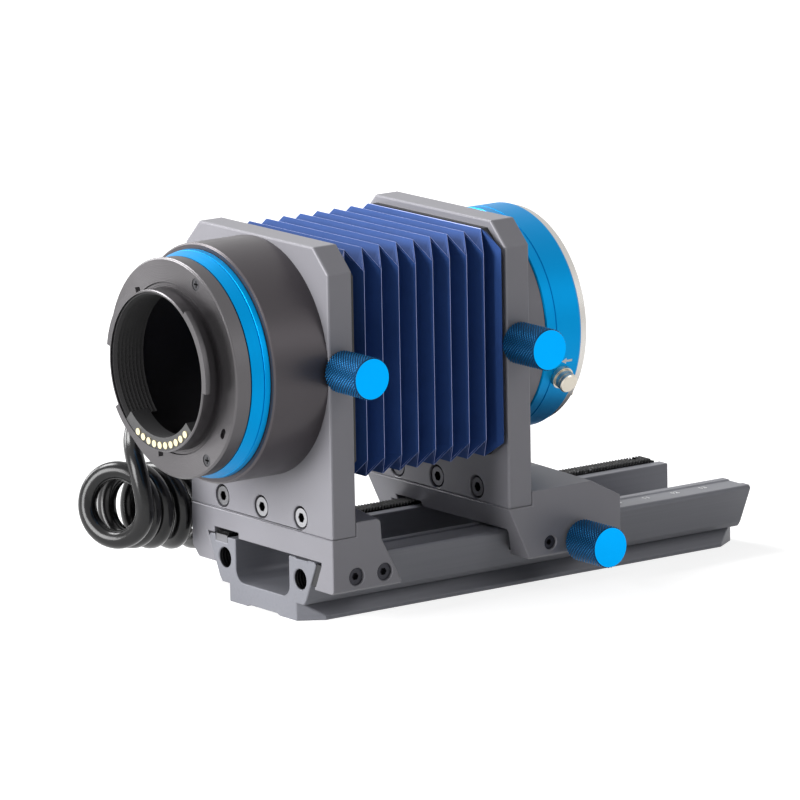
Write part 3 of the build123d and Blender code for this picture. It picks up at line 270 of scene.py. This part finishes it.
# Bead-blasted, hard anodised extrusion: satin, with a grain of 0.4 mm and faint lines along its
# length, 0.8 mm wide. Its threaded holes have turns 1 mm apart: a wave texture repeats every 0.314
# of its own unit. Their walls are painted dark as shade. The mask is 1 in a hole's wall and 0 at
# the rail's end faces.
hole_side, hole_height = 0.0176, 0.0119
hole_wall, hole_mouth = (0.00295, 0.00288), (0.0749, 0.0742)
rail_grey, tree = new_material("grey_anodised_extrusion")
place = add(tree, "ShaderNodeTexCoord")
stretched = add(tree, "ShaderNodeVectorMath", {"operation": "MULTIPLY", 1: (12, 1200, 1200)},
                {0: (place, "Object")})
lines = add(tree, "ShaderNodeTexNoise", {"Scale": 1.0, "Detail": 2.0}, {"Vector": (stretched, 0)})
grain = add(tree, "ShaderNodeTexNoise", {"Scale": 2500.0, "Detail": 2.0},
            {"Vector": (place, "Object")})
parts = add(tree, "ShaderNodeSeparateXYZ", None, {"Vector": (place, "Object")})
side = add(tree, "ShaderNodeMath", {"operation": "ABSOLUTE"}, {0: (parts, "Y")})
out = add(tree, "ShaderNodeMath", {"operation": "SUBTRACT", 1: hole_side}, {0: (side, 0)})
up = add(tree, "ShaderNodeMath", {"operation": "SUBTRACT", 1: hole_height}, {0: (parts, "Z")})
across = add(tree, "ShaderNodeCombineXYZ", None, {"X": (out, 0), "Y": (up, 0)})
from_hole = add(tree, "ShaderNodeVectorMath", {"operation": "LENGTH"}, {0: (across, 0)})
in_hole = add(tree, "ShaderNodeMapRange", {"From Min": hole_wall[0], "From Max": hole_wall[1]},
              {"Value": (from_hole, "Value")})
along = add(tree, "ShaderNodeMath", {"operation": "ABSOLUTE"}, {0: (parts, "X")})
below_face = add(tree, "ShaderNodeMapRange",
                 {"From Min": hole_mouth[0], "From Max": hole_mouth[1]}, {"Value": (along, 0)})
threads_and_painted_shade = add(tree, "ShaderNodeMath", {"operation": "MULTIPLY"},
               {0: (in_hole, 0), 1: (below_face, 0)})
tone = add(tree, "ShaderNodeMapRange", {"To Min": 0.9, "To Max": 1.08}, {"Value": (lines, 0)})
dye = add(tree, "ShaderNodeHueSaturation", {"Color": linear("#83848B")}, {"Value": (tone, 0)})
# Painted shade: the walls of the threaded holes are painted near-black.
colour = add(tree, "ShaderNodeMix", {"data_type": "RGBA", 7: linear("#0C0C0D")},
             {0: (threads_and_painted_shade, 0), 6: (dye, 0)})
turns = add(tree, "ShaderNodeTexWave", {"bands_direction": "X", "Scale": 318.0},
            {"Vector": (place, "Object")})
cut = add(tree, "ShaderNodeMath", {"operation": "MULTIPLY"}, {0: (turns, 1), 1: (threads_and_painted_shade, 0)})
fine = add(tree, "ShaderNodeMath", {"operation": "MULTIPLY_ADD", 1: 0.05},
           {0: (grain, 0), 2: (cut, 0)})
relief = add(tree, "ShaderNodeBump", {"Strength": 0.6, "Distance": 0.0003}, {"Height": (fine, 0)})
polish = add(tree, "ShaderNodeMapRange", {"To Min": 0.36, "To Max": 0.48}, {"Value": (lines, 0)})
surface = add(tree, "ShaderNodeBsdfPrincipled", {"Metallic": 0.12, "Specular IOR Level": 0.3},
              {"Base Color": (colour, 2), "Roughness": (polish, 0), "Normal": (relief, 0)})
add(tree, "ShaderNodeOutputMaterial", None, {"Surface": (surface, 0)})
dress(rail_grey, "rail")
eased("rail", rail_grey, "rail_and_rear_standard")

# Screen-printed epoxy ink: flat white, with faint specks of 0.3 mm.
white_ink, tree = new_material("white_screen_ink")
place = add(tree, "ShaderNodeTexCoord")
speckle = add(tree, "ShaderNodeTexNoise", {"Scale": 3000.0}, {"Vector": (place, "Object")})
tone = add(tree, "ShaderNodeMapRange", {"To Min": 0.9, "To Max": 1.0}, {"Value": (speckle, 0)})
surface = add(tree, "ShaderNodeBsdfPrincipled", {"Roughness": 0.6}, {"Base Color": (tone, 0)})
add(tree, "ShaderNodeOutputMaterial", None, {"Surface": (surface, 0)})

# The numbers stand 10 mm apart in the arm's groove, on a film of ink that is 0.02 mm thick.
scale_zero, scale_side, scale_top = -0.067, -0.0184, 0.01743
for centimetre in range(6, 14):
    label = bpy.data.curves.new("scale_number", "FONT")
    label.body = str(centimetre)
    label.size = 0.0026
    label.align_x = "CENTER"
    label.align_y = "CENTER"
    label.extrude = 0.00002
    label.offset = 0.00005
    writing = in_scene("scale_number", label)
    number_mesh = bpy.data.meshes.new_from_object(writing)
    bpy.data.objects.remove(writing)
    scale_place = (scale_zero + 0.01 * centimetre, scale_side, scale_top)
    number_mesh.transform(Matrix.Translation(scale_place))
    number_mesh.materials.clear()
    number_mesh.materials.append(white_ink)
    number = in_scene("scale_number_%d" % centimetre, number_mesh)
    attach(number, "rail_and_rear_standard")

# ---- rack ------------------------------------------------------------------------------------
# A milled toothed bar of blackened steel, oiled, in a slot of the rail's far arm, where two short
# screws hold it. Its sawn end, flush with the rail's, is bare.

# Blackened steel: dark under a film of oil that is patchy at 0.9 mm, and rubbed grey in spots.
black_steel, tree = new_material("blackened_steel")
place = add(tree, "ShaderNodeTexCoord")
grime = add(tree, "ShaderNodeTexNoise", {"Scale": 1100.0, "Detail": 4.0},
            {"Vector": (place, "Object")})
polish = add(tree, "ShaderNodeMapRange", {"To Min": 0.2, "To Max": 0.6}, {"Value": (grime, 0)})
parts = add(tree, "ShaderNodeSeparateXYZ", None, {"Vector": (place, "Object")})
sawn_end = -0.07478
sawn = add(tree, "ShaderNodeMath", {"operation": "LESS_THAN", 1: sawn_end}, {0: (parts, "X")})
wear = add(tree, "ShaderNodeMapRange", {"From Min": 0.62, "From Max": 0.72}, {"Value": (grime, 0)})
worn = add(tree, "ShaderNodeMix", {"data_type": "RGBA", 6: linear("#232324"), 7: linear("#6A6A6C")},
           {0: (wear, 0)})
colour = add(tree, "ShaderNodeMix", {"data_type": "RGBA", 7: linear("#8A8A8E")},
             {0: (sawn, 0), 6: (worn, 2)})
surface = add(tree, "ShaderNodeBsdfPrincipled", {"Metallic": 0.9},
              {"Base Color": (colour, 2), "Roughness": (polish, 0)})
add(tree, "ShaderNodeOutputMaterial", None, {"Surface": (surface, 0)})
dress(black_steel, "rack", "rack_screws")

# ---- carriages -------------------------------------------------------------------------------
# Both carriages are milled from solid aluminium, bead blasted and anodised grey. The rear one is
# fixed on the rail and the front one slides. Each has a gib strip that set screws press on.


def anodised(name, code, roughness, grain_mm, metallic=0.12):
    """Bead-blasted aluminium under a dyed anodised layer: satin, with a fine even grain and faint
    clouds of about 22 mm. Blasted and blackened steel looks the same, only more metallic."""
    material, tree = new_material(name)
    place = add(tree, "ShaderNodeTexCoord")
    grain = add(tree, "ShaderNodeTexNoise", {"Scale": 1000 / grain_mm, "Detail": 2.0},
                {"Vector": (place, "Object")})
    patch = add(tree, "ShaderNodeTexNoise", {"Scale": 45.0, "Detail": 3.0},
                {"Vector": (place, "Object")})
    shade = add(tree, "ShaderNodeMapRange", {"To Min": 0.93, "To Max": 1.07}, {"Value": (patch, 0)})
    dye = add(tree, "ShaderNodeHueSaturation", {"Color": linear(code)}, {"Value": (shade, 0)})
    polish = add(tree, "ShaderNodeMapRange",
                 {"To Min": roughness - 0.05, "To Max": roughness + 0.05},
                 {"Value": (patch, 0)})
    relief = add(tree, "ShaderNodeBump", {"Strength": 0.12, "Distance": 0.0001},
                 {"Height": (grain, 0)})
    surface = add(tree, "ShaderNodeBsdfPrincipled",
                  {"Metallic": metallic, "Specular IOR Level": 0.3},
                  {"Base Color": (dye, 0), "Roughness": (polish, 0), "Normal": (relief, 0)})
    add(tree, "ShaderNodeOutputMaterial", None, {"Surface": (surface, 0)})
    return material


# The blasting grain, about 0.1 mm, is drawn at 0.35 mm so that it shows.
grey_anodised = anodised("grey_anodised_aluminium", "#8A898F", 0.42, 0.35)
dress(grey_anodised, "rear_carriage", "front_carriage")
eased("rear_carriage", grey_anodised, "rail_and_rear_standard")
eased("front_carriage", grey_anodised, "front_standard")

# Gib strips are moulded in black acetal, which is smooth and a little waxy. Their set screws are
# satin blackened steel.


def moulded(name, code, roughness, grain_mm):
    """Moulded plastic or rubber with an even matt grain."""
    material, tree = new_material(name)
    place = add(tree, "ShaderNodeTexCoord")
    grain = add(tree, "ShaderNodeTexNoise", {"Scale": 1000 / grain_mm, "Detail": 2.0},
                {"Vector": (place, "Object")})
    polish = add(tree, "ShaderNodeMapRange",
                 {"To Min": roughness - 0.08, "To Max": roughness + 0.08},
                 {"Value": (grain, 0)})
    relief = add(tree, "ShaderNodeBump", {"Strength": 0.15, "Distance": 0.0001},
                 {"Height": (grain, 0)})
    surface = add(tree, "ShaderNodeBsdfPrincipled", {"Base Color": linear(code)},
                  {"Roughness": (polish, 0), "Normal": (relief, 0)})
    add(tree, "ShaderNodeOutputMaterial", None, {"Surface": (surface, 0)})
    return material


black_acetal = moulded("black_acetal", "#19191B", 0.5, 0.4)
dress(black_acetal, "rear_gib", "front_gib")
set_steel = anodised("black_oxide_screw_steel", "#3A3A40", 0.45, 0.3, metallic=0.6)
dress(set_steel, "rear_set_screws", "front_set_screw")

# ---- standards -------------------------------------------------------------------------------
# The upright plates are milled from grey anodised plate, with chamfered rims. Three cap screws
# fasten each to its carriage: zinc-plated ones at the rear, and blackened ones at the front.
dress(grey_anodised, "rear_plate", "front_plate")
eased("rear_plate", grey_anodised, "rail_and_rear_standard")
eased("front_plate", grey_anodised, "front_standard")


mount_height = 0.071


def turned_metal(name, code, roughness, depth=0.12, metallic=1.0, specular=0.5, lathe=0.0):
    """Metal with faint rings from the lathe round the mounts' axis, which runs along X. They are
    0.1 mm apart, drawn at 0.45 mm so that they show. Its polish varies over about 8 mm."""
    material, tree = new_material(name)
    place = add(tree, "ShaderNodeTexCoord")
    centred = add(tree, "ShaderNodeMapping", {"Location": (0, 0, -mount_height)},
                  {"Vector": (place, "Object")})
    rings = add(tree, "ShaderNodeTexWave",
                {"wave_type": "RINGS", "rings_direction": "X", "Scale": 700.0, "Distortion": 0.4},
                {"Vector": (centred, 0)})
    cloud = add(tree, "ShaderNodeTexNoise", {"Scale": 130.0, "Detail": 3.0},
                {"Vector": (place, "Object")})
    polish = add(tree, "ShaderNodeMapRange",
                 {"To Min": roughness - 0.06, "To Max": roughness + 0.08},
                 {"Value": (cloud, 0)})
    relief = add(tree, "ShaderNodeBump", {"Strength": depth, "Distance": 0.0001},
                 {"Height": (rings, 1)})
    spun = add(tree, "ShaderNodeTangent", {"direction_type": "RADIAL", "axis": "X"})
    surface = add(tree, "ShaderNodeBsdfPrincipled",
                  {"Base Color": linear(code), "Metallic": metallic, "Specular IOR Level": specular,
                   "Anisotropic": lathe},
                  {"Roughness": (polish, 0), "Normal": (relief, 0), "Tangent": (spun, 0)})
    add(tree, "ShaderNodeOutputMaterial", None, {"Surface": (surface, 0)})
    return material


def screws(node, name, code, inwards):
    """Screw steel, patchy at about 1.1 mm. Its sockets are painted black as shade, from 0.3 mm
    below the faces of its heads."""
    light_to, dark_from = 0.00022, 0.00034
    low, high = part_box(node)
    face = low[0] if inwards > 0 else high[0]
    material, tree = new_material(name)
    place = add(tree, "ShaderNodeTexCoord")
    parts = add(tree, "ShaderNodeSeparateXYZ", None, {"Vector": (place, "Object")})
    socket_painted_shade = add(tree, "ShaderNodeMapRange",
               {"From Min": face + inwards * light_to, "From Max": face + inwards * dark_from},
               {"Value": (parts, "X")})
    cloud = add(tree, "ShaderNodeTexNoise", {"Scale": 900.0, "Detail": 2.0},
                {"Vector": (place, "Object")})
    polish = add(tree, "ShaderNodeMapRange", {"To Min": 0.3, "To Max": 0.5}, {"Value": (cloud, 0)})
    # Painted shade: the sockets are painted near-black.
    colour = add(tree, "ShaderNodeMix",
                 {"data_type": "RGBA", 6: linear(code), 7: linear("#0B0B0C")},
                 {0: (socket_painted_shade, 0)})
    surface = add(tree, "ShaderNodeBsdfPrincipled", {"Metallic": 0.9},
                  {"Base Color": (colour, 2), "Roughness": (polish, 0)})
    add(tree, "ShaderNodeOutputMaterial", None, {"Surface": (surface, 0)})
    dress(material, node)


screws("rear_plate_screws", "bright_zinc_plated_rear_screws", "#A9A9AC", 1)
screws("front_plate_screws", "black_oxide_front_screws", "#55555A", 1)

# ---- camera tube -----------------------------------------------------------------------------
# The housing on the rear standard is turned aluminium, anodised a warm black, with a satin skin.
# The sleeve that turns inside it is blasted and matt, so it throws back little light.
warm_black = turned_metal("warm_black_anodised_aluminium", "#4E4A4D", 0.34, depth=0.1, metallic=0.6,
                          specular=0.3)
dress(warm_black, "camera_tube")
deep_black = anodised("matt_black_anodised_aluminium", "#2A282B", 0.6, 0.4, metallic=0.3)
dress(deep_black, "camera_sleeve", "lens_sleeve")
screws("camera_tube_screws", "black_oxide_tube_screws", "#3C3B3D", 1)

# ---- turning camera mount --------------------------------------------------------------------
# A clear blue dyed ring, then a collar and the flange with its bayonet barrel and lugs, turned
# from steel and plated in dark chrome with fine lathe rings.
blue_ring = turned_metal("blue_anodised_turned_ring", "#008CCB", 0.42, depth=0.08, metallic=0.8,
                         specular=0.1)
dress(blue_ring, "camera_blue_ring")
dark_chrome = turned_metal("dark_chrome_plated_steel", "#5F5D5F", 0.3, depth=0.2, metallic=0.9,
                           lathe=0.8)
dress(dark_chrome, "camera_flange", "camera_collar")
screws("camera_flange_screws", "black_oxide_flange_screws", "#4C4C4F", 1)

# The barrel carries a matt black ribbed baffle, and a dark block whose ten spring contacts are
# plated in pale gold.
trap_black = moulded("matt_black_baffle", "#0E0D0F", 0.7, 0.4)
dress(trap_black, "camera_baffle")
block_plastic = moulded("dark_grey_glass_filled_plastic", "#3A3A3B", 0.4, 0.4)
dress(block_plastic, "camera_contact_block", "lens_contact_block")
pale_gold = turned_metal("gold_plated_contacts", "#F2E6BE", 0.28, depth=0.0)
dress(pale_gold, "camera_contacts", "lens_contacts")

# ---- cable glands ----------------------------------------------------------------------------
# Tapered sleeves, moulded in dull black rubber, that hold the cable and ease its bend where it
# leaves the camera tube and the lens tube.
black_rubber = moulded("black_rubber", "#1B1B1C", 0.62, 0.5)
dress(black_rubber, "rear_cable_gland", "front_cable_gland")

# ---- bellows frames --------------------------------------------------------------------------
# Thin frames of black plastic that clamp the ends of the cloth against both plates. They are
# moulded, with an even matt grain.
frame_black = moulded("black_bellows_frame", "#151517", 0.5, 0.4)
dress(frame_black, "rear_bellows_frame", "front_bellows_frame")

# ---- bellows ---------------------------------------------------------------------------------
# Coated cloth, folded over a form into box pleats and glued to both frames. The ridges of its
# sides stand half a pitch from those of its top, and slanting creases join their ends.
bellows_start, bellows_end = -0.0655, -0.0172
half_width, half_height, middle, cloth_thickness = 0.031, 0.0316, 0.0707, 0.0004
ridge_reach, depth, half_pitch = (0.0259, 0.02605), 0.007, 0.00285
frame_reach, frame_corner = (0.0330, 0.0305), (0.0268, 0.0268)
first_fold = (bellows_start + bellows_end) / 2 - 8 * half_pitch
stations = [(bellows_start, 0.5)]
stations += [(first_fold + fold * half_pitch, fold % 2) for fold in range(17)]
stations += [(bellows_end, None)]


def section(side_share):
    """Corners of the cloth at a fold. The share is 1 at a side ridge, 0 at a top ridge and None
    at the front frame, where the sides flare out to the plate."""
    if side_share is None:
        (side, top), (side_end, top_end) = frame_reach, frame_corner
    else:
        side_end, top_end = ridge_reach
        side = half_width - depth * (1 - side_share)
        top = half_height - depth * side_share
    return [(side, -side_end), (side, side_end), (top_end, top), (-top_end, top),
            (-side, side_end), (-side, -side_end), (-top_end, -top), (top_end, -top)]


def next_ring(shape, rim, ring):
    """Extrudes a rim of edges. Returns the new rim, and its corners in the old ring's order."""
    grown = bmesh.ops.extrude_edge_only(shape, edges=rim)["geom"]
    rim = [part for part in grown if isinstance(part, bmesh.types.BMEdge)]
    fresh = {part for part in grown if isinstance(part, bmesh.types.BMVert)}
    ring = [next(edge.other_vert(old) for edge in old.link_edges if edge.other_vert(old) in fresh)
            for old in ring]
    return rim, ring


folded = bmesh.new()
ring = bmesh.ops.create_circle(folded, segments=8, radius=0.03)["verts"]
rim = list(folded.edges)
rings = []
for number, (x, side_share) in enumerate(stations):
    if number:
        rim, ring = next_ring(folded, rim, ring)
    for vertex, (y, z) in zip(ring, section(side_share)):
        vertex.co = (x, y, z + middle)
    rings.append(ring)

# Each corner folds on the line from a side ridge's end to the ends of the ridges beside it.
for number in range(len(stations) - 1):
    low_side = stations[number][1] > (stations[number + 1][1] or 0)
    for side_corner, top_corner in ((1, 2), (4, 3), (5, 6), (0, 7)):
        if low_side:
            pair = [rings[number][side_corner], rings[number + 1][top_corner]]
        else:
            pair = [rings[number][top_corner], rings[number + 1][side_corner]]
        bmesh.ops.connect_verts(folded, verts=pair)
bmesh.ops.recalc_face_normals(folded, faces=folded.faces)
outward = sum(face.normal.dot(face.calc_center_median() - Vector((0, 0, middle)))
              for face in folded.faces)
if outward < 0:
    bmesh.ops.reverse_faces(folded, faces=folded.faces)

# A painted highlight runs pale along every ridge and corner crease: a narrow strip of its own.
# The last panel, which lies against the frame, has none.
highlight_strip_width, flattest_crease = 0.00024, radians(16)
at_frame = set(rings[-1])
creases = [edge for edge in folded.edges if len(edge.link_faces) == 2 and edge.is_convex
           and edge.calc_face_angle() > flattest_crease and not at_frame.intersection(edge.verts)]
# The crease strips take the second material, a painted highlight.
bmesh.ops.bevel(folded, geom=creases, offset=highlight_strip_width, offset_type="OFFSET", affect="EDGES",
                segments=1, profile=0.5, material=1, clamp_overlap=True)
bmesh.ops.solidify(folded, geom=folded.faces, thickness=cloth_thickness)
bellows_mesh = bpy.data.meshes.new("pleated_bellows")
folded.to_mesh(bellows_mesh)
folded.free()
bellows = in_scene("pleated_bellows", bellows_mesh)

# Polyurethane-coated nylon: deep blue, with a soft sheen and clouds of about 11 mm, and a paler
# copy that paints the highlight along the creases. Its weave of 0.2 mm is drawn at 0.35 mm so that
# it shows.
for name, code, roughness in (("coated_nylon_cloth", "#2C4E8E", 0.7),
                              ("painted_highlight_crease_cloth", "#BAC6FF", 0.6)):
    cloth, tree = new_material(name)
    place = add(tree, "ShaderNodeTexCoord")
    weave = add(tree, "ShaderNodeTexNoise", {"Scale": 2800.0, "Detail": 2.0},
                {"Vector": (place, "Object")})
    cloud = add(tree, "ShaderNodeTexNoise", {"Scale": 90.0, "Detail": 3.0},
                {"Vector": (place, "Object")})
    shade = add(tree, "ShaderNodeMapRange", {"To Min": 0.85, "To Max": 1.15}, {"Value": (cloud, 0)})
    dye = add(tree, "ShaderNodeHueSaturation", {"Color": linear(code)}, {"Value": (shade, 0)})
    relief = add(tree, "ShaderNodeBump", {"Strength": 0.2, "Distance": 0.0001},
                 {"Height": (weave, 0)})
    surface = add(tree, "ShaderNodeBsdfPrincipled",
                  {"Roughness": roughness, "Specular IOR Level": 0.25, "Sheen Weight": 0.06,
                   "Sheen Roughness": 0.4},
                  {"Base Color": (dye, 0), "Normal": (relief, 0)})
    add(tree, "ShaderNodeOutputMaterial", None, {"Surface": (surface, 0)})
    bellows_mesh.materials.append(cloth)
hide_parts("bellows")
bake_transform(bellows)

# ---- lens side -------------------------------------------------------------------------------
# A tube on the front standard, turned and anodised grey, carries the turning lens mount: a broad
# blue ring, then a screwed flange of nickel-plated brass with inner lugs, leaf springs and gold
# contacts.
dress(grey_anodised, "lens_tube")
dress(blue_ring, "lens_ring")
# Satin nickel: bright and a little warm, over fine lathe rings.
bright_flange = turned_metal("satin_nickel_plated_brass", "#C6C3BF", 0.26, depth=0.15)
dress(bright_flange, "lens_flange", "bayonet_springs")
screws("lens_flange_screws", "black_oxide_lens_screws", "#4C4C4F", -1)

# A white index arrow is printed on the ring's broad band, 15 degrees below the near side.
arrow_turn = radians(15)
arrow_tip, arrow_neck, arrow_tail = 0.0052, 0.0068, 0.0088
arrow_half_head, arrow_half_shaft, ink = 0.00085, 0.00032, 0.00003
band_radius, ink_sunk, head_overlap = 0.0311, 0.00001, 0.00002
arrow = bmesh.new()
bmesh.ops.create_grid(arrow, x_segments=1, y_segments=1, size=0.5)
for vertex in arrow.verts:
    vertex.co = (arrow_neck if vertex.co.x < 0 else arrow_tail,
                 vertex.co.y * 2 * arrow_half_shaft, 0)
foremost = min(vertex.co.x for vertex in arrow.verts)
front_edge = [edge for edge in arrow.edges
              if all(vertex.co.x == foremost for vertex in edge.verts)]
for reach, half in ((arrow_neck - head_overlap, arrow_half_head), (arrow_tip, 0)):
    grown = bmesh.ops.extrude_edge_only(arrow, edges=front_edge)["geom"]
    front_edge = [part for part in grown if isinstance(part, bmesh.types.BMEdge)]
    for vertex in [part for part in grown if isinstance(part, bmesh.types.BMVert)]:
        vertex.co = (reach, half if vertex.co.y > 0 else -half, 0)
bmesh.ops.remove_doubles(arrow, verts=arrow.verts, dist=0.000001)
printed = bmesh.ops.extrude_face_region(arrow, geom=list(arrow.faces))["geom"]
bmesh.ops.translate(arrow, verts=[part for part in printed if isinstance(part, bmesh.types.BMVert)],
                    vec=(0, 0, ink))
for vertex in arrow.verts:
    angle = arrow_turn + vertex.co.y / band_radius
    reach = band_radius - ink_sunk + vertex.co.z
    vertex.co = (vertex.co.x, -reach * cos(angle), mount_height - reach * sin(angle))
bmesh.ops.recalc_face_normals(arrow, faces=arrow.faces)
if arrow.calc_volume(signed=True) < 0:
    bmesh.ops.reverse_faces(arrow, faces=arrow.faces)
arrow_mesh = bpy.data.meshes.new("index_arrow")
arrow.to_mesh(arrow_mesh)
arrow.free()
arrow_mesh.materials.append(white_ink)
index_arrow = in_scene("index_arrow", arrow_mesh)
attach(index_arrow, "lens_mount")

# ---- release button --------------------------------------------------------------------------
# The button and its collar are turned from steel and plated in warm nickel. The collar sits
# in the lens ring, and the lock pin and two coil springs are behind it.
warm_nickel = turned_metal("warm_nickel_plated_steel", "#CFC8BB", 0.32, depth=0.0)
dress(warm_nickel, "release_button", "button_collar", "lock_pin", "lock_pin_spring",
      "button_spring")

# Both coil springs are copied with their doubled vertices merged, and keep their shape.
for name, body, moving_end, fixed_end in (
    ("button_spring", "release_button", (0.006, -0.02709, 0.05906), (0.006, -0.02501, 0.05997)),
    ("lock_pin_spring", "lock_pin", (0.0101, -0.0213, 0.0519), (0.0059, -0.0213, 0.0519)),
):
    coils = bmesh.new()
    coils.from_mesh(nodes[name].data)
    bmesh.ops.remove_doubles(coils, verts=coils.verts, dist=0.000001)
    coils_mesh = bpy.data.meshes.new("pressed_" + name)
    coils.to_mesh(coils_mesh)
    coils.free()
    coils_mesh.materials.clear()
    coils_mesh.materials.append(warm_nickel)
    spring = in_scene("pressed_" + name, coils_mesh)
    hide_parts(name)
    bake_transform(spring)

# ---- clamps and drive ------------------------------------------------------------------------
# Knurled knobs of aluminium, anodised blue and pressed on plated steel studs. The drive knob
# turns the pinion, whose shaft runs in a bronze bush, and the carriage clamp has a plated washer.
dress(warm_nickel, "rear_clamp_stud", "front_clamp_stud", "carriage_clamp_stud",
      "carriage_clamp_washer", "pinion", "pinion_shaft")
# Turned bronze: warm brown, with a dull polish.
bearing_bronze = turned_metal("bearing_bronze", "#A9794A", 0.4, depth=0.0)
dress(bearing_bronze, "drive_bush")

# Dyed clear blue. The end face is turned smooth. The knurl is painted darker than the face, and
# darkest in its grooves, as shade.
knob_blue = turned_metal("blue_anodised_knob_face", "#00A0EC", 0.3, depth=0.0)
# The knurl is 0.5 mm from peak to peak, and stops 0.4 mm short of both chamfered ends.
knurl_pitch, knurl_depth, plain_end, end_chamfer = 0.0005, 0.0002, 0.0004, 0.00035
knob_axes = {"rear_clamp_knob": (-0.071, 0.071), "front_clamp_knob": (-0.0117, 0.071),
             "carriage_clamp_knob": (0.0082, 0.0134), "drive_knob": (0.002, 0.0215)}
knob_bodies = {"rear_clamp_knob": "rear_clamp", "front_clamp_knob": "front_clamp",
               "carriage_clamp_knob": "carriage_clamp", "drive_knob": "drive"}
for name, (axis_x, axis_z) in knob_axes.items():
    low, high = (Vector(corner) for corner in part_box(name))
    radius = (high.x - low.x) / 2
    around = 2 * round(pi * radius / knurl_pitch)
    outer, inner = (high.y, low.y) if name == "drive_knob" else (low.y, high.y)
    step = 2 * pi * radius / around
    rows = int((abs(outer - inner) - 2 * plain_end) / step)
    rows -= rows % 2
    lower = inner + (plain_end if outer > inner else -plain_end)
    spacing = (outer - inner - 2 * (lower - inner)) / rows
    knob = bmesh.new()
    ring = bmesh.ops.create_circle(knob, segments=around, radius=radius)["verts"]
    rim = list(knob.edges)
    levels = [(inner, radius - end_chamfer, 0)]
    levels += [(lower + spacing * row, radius, 1) for row in range(rows + 1)]
    levels += [(outer, radius - end_chamfer, 0)]
    for level, (y, reach, is_knurl) in enumerate(levels):
        if level:
            rim, ring = next_ring(knob, rim, ring)
        else:
            first_rim = list(rim)
        for index, vertex in enumerate(ring):
            angle = 2 * pi * index / around
            groove = knurl_depth if is_knurl and (index + level) % 2 else 0.0
            vertex.co = (axis_x + (reach - groove) * cos(angle), y,
                         axis_z + (reach - groove) * sin(angle))
    bmesh.ops.triangulate(knob, faces=[face for face in knob.faces if len(face.verts) == 4],
                          quad_method="SHORT_EDGE")
    for end_rim in (first_rim, rim):
        bmesh.ops.contextual_create(knob, geom=end_rim)
    bmesh.ops.recalc_face_normals(knob, faces=knob.faces)
    for face in knob.faces:
        face.material_index = 1 if len(face.verts) > 4 else 0
    mesh = bpy.data.meshes.new("knurled_" + name)
    knob.to_mesh(mesh)
    knob.free()
    knurl, tree = new_material("blue_anodised_" + name + "_knurl")
    place = add(tree, "ShaderNodeTexCoord")
    centred = add(tree, "ShaderNodeMapping", {"Location": (-axis_x, 0, -axis_z)},
                  {"Vector": (place, "Object")})
    flat = add(tree, "ShaderNodeVectorMath", {"operation": "MULTIPLY", 1: (1, 0, 1)},
               {0: (centred, 0)})
    reach = add(tree, "ShaderNodeVectorMath", {"operation": "LENGTH"}, {0: (flat, 0)})
    knurl_shade_mask = add(tree, "ShaderNodeMapRange",
               {"From Min": radius - 0.7 * knurl_depth, "From Max": radius - 0.1 * knurl_depth},
               {"Value": (reach, "Value")})
    # Painted shade: the knurl is darker than the face's dye, and darkest in its grooves.
    colour = add(tree, "ShaderNodeMix",
                 {"data_type": "RGBA", 6: linear("#012D4E"), 7: linear("#1674AE")}, {0: (knurl_shade_mask, 0)})
    surface = add(tree, "ShaderNodeBsdfPrincipled",
                  {"Metallic": 0.6, "Roughness": 0.45, "Specular IOR Level": 0.2},
                  {"Base Color": (colour, 2)})
    add(tree, "ShaderNodeOutputMaterial", None, {"Surface": (surface, 0)})
    mesh.materials.append(knurl)
    mesh.materials.append(knob_blue)
    piece = in_scene("knurled_" + name, mesh)
    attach(piece, knob_bodies[name])
    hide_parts(name)
    dress(knob_blue, name)
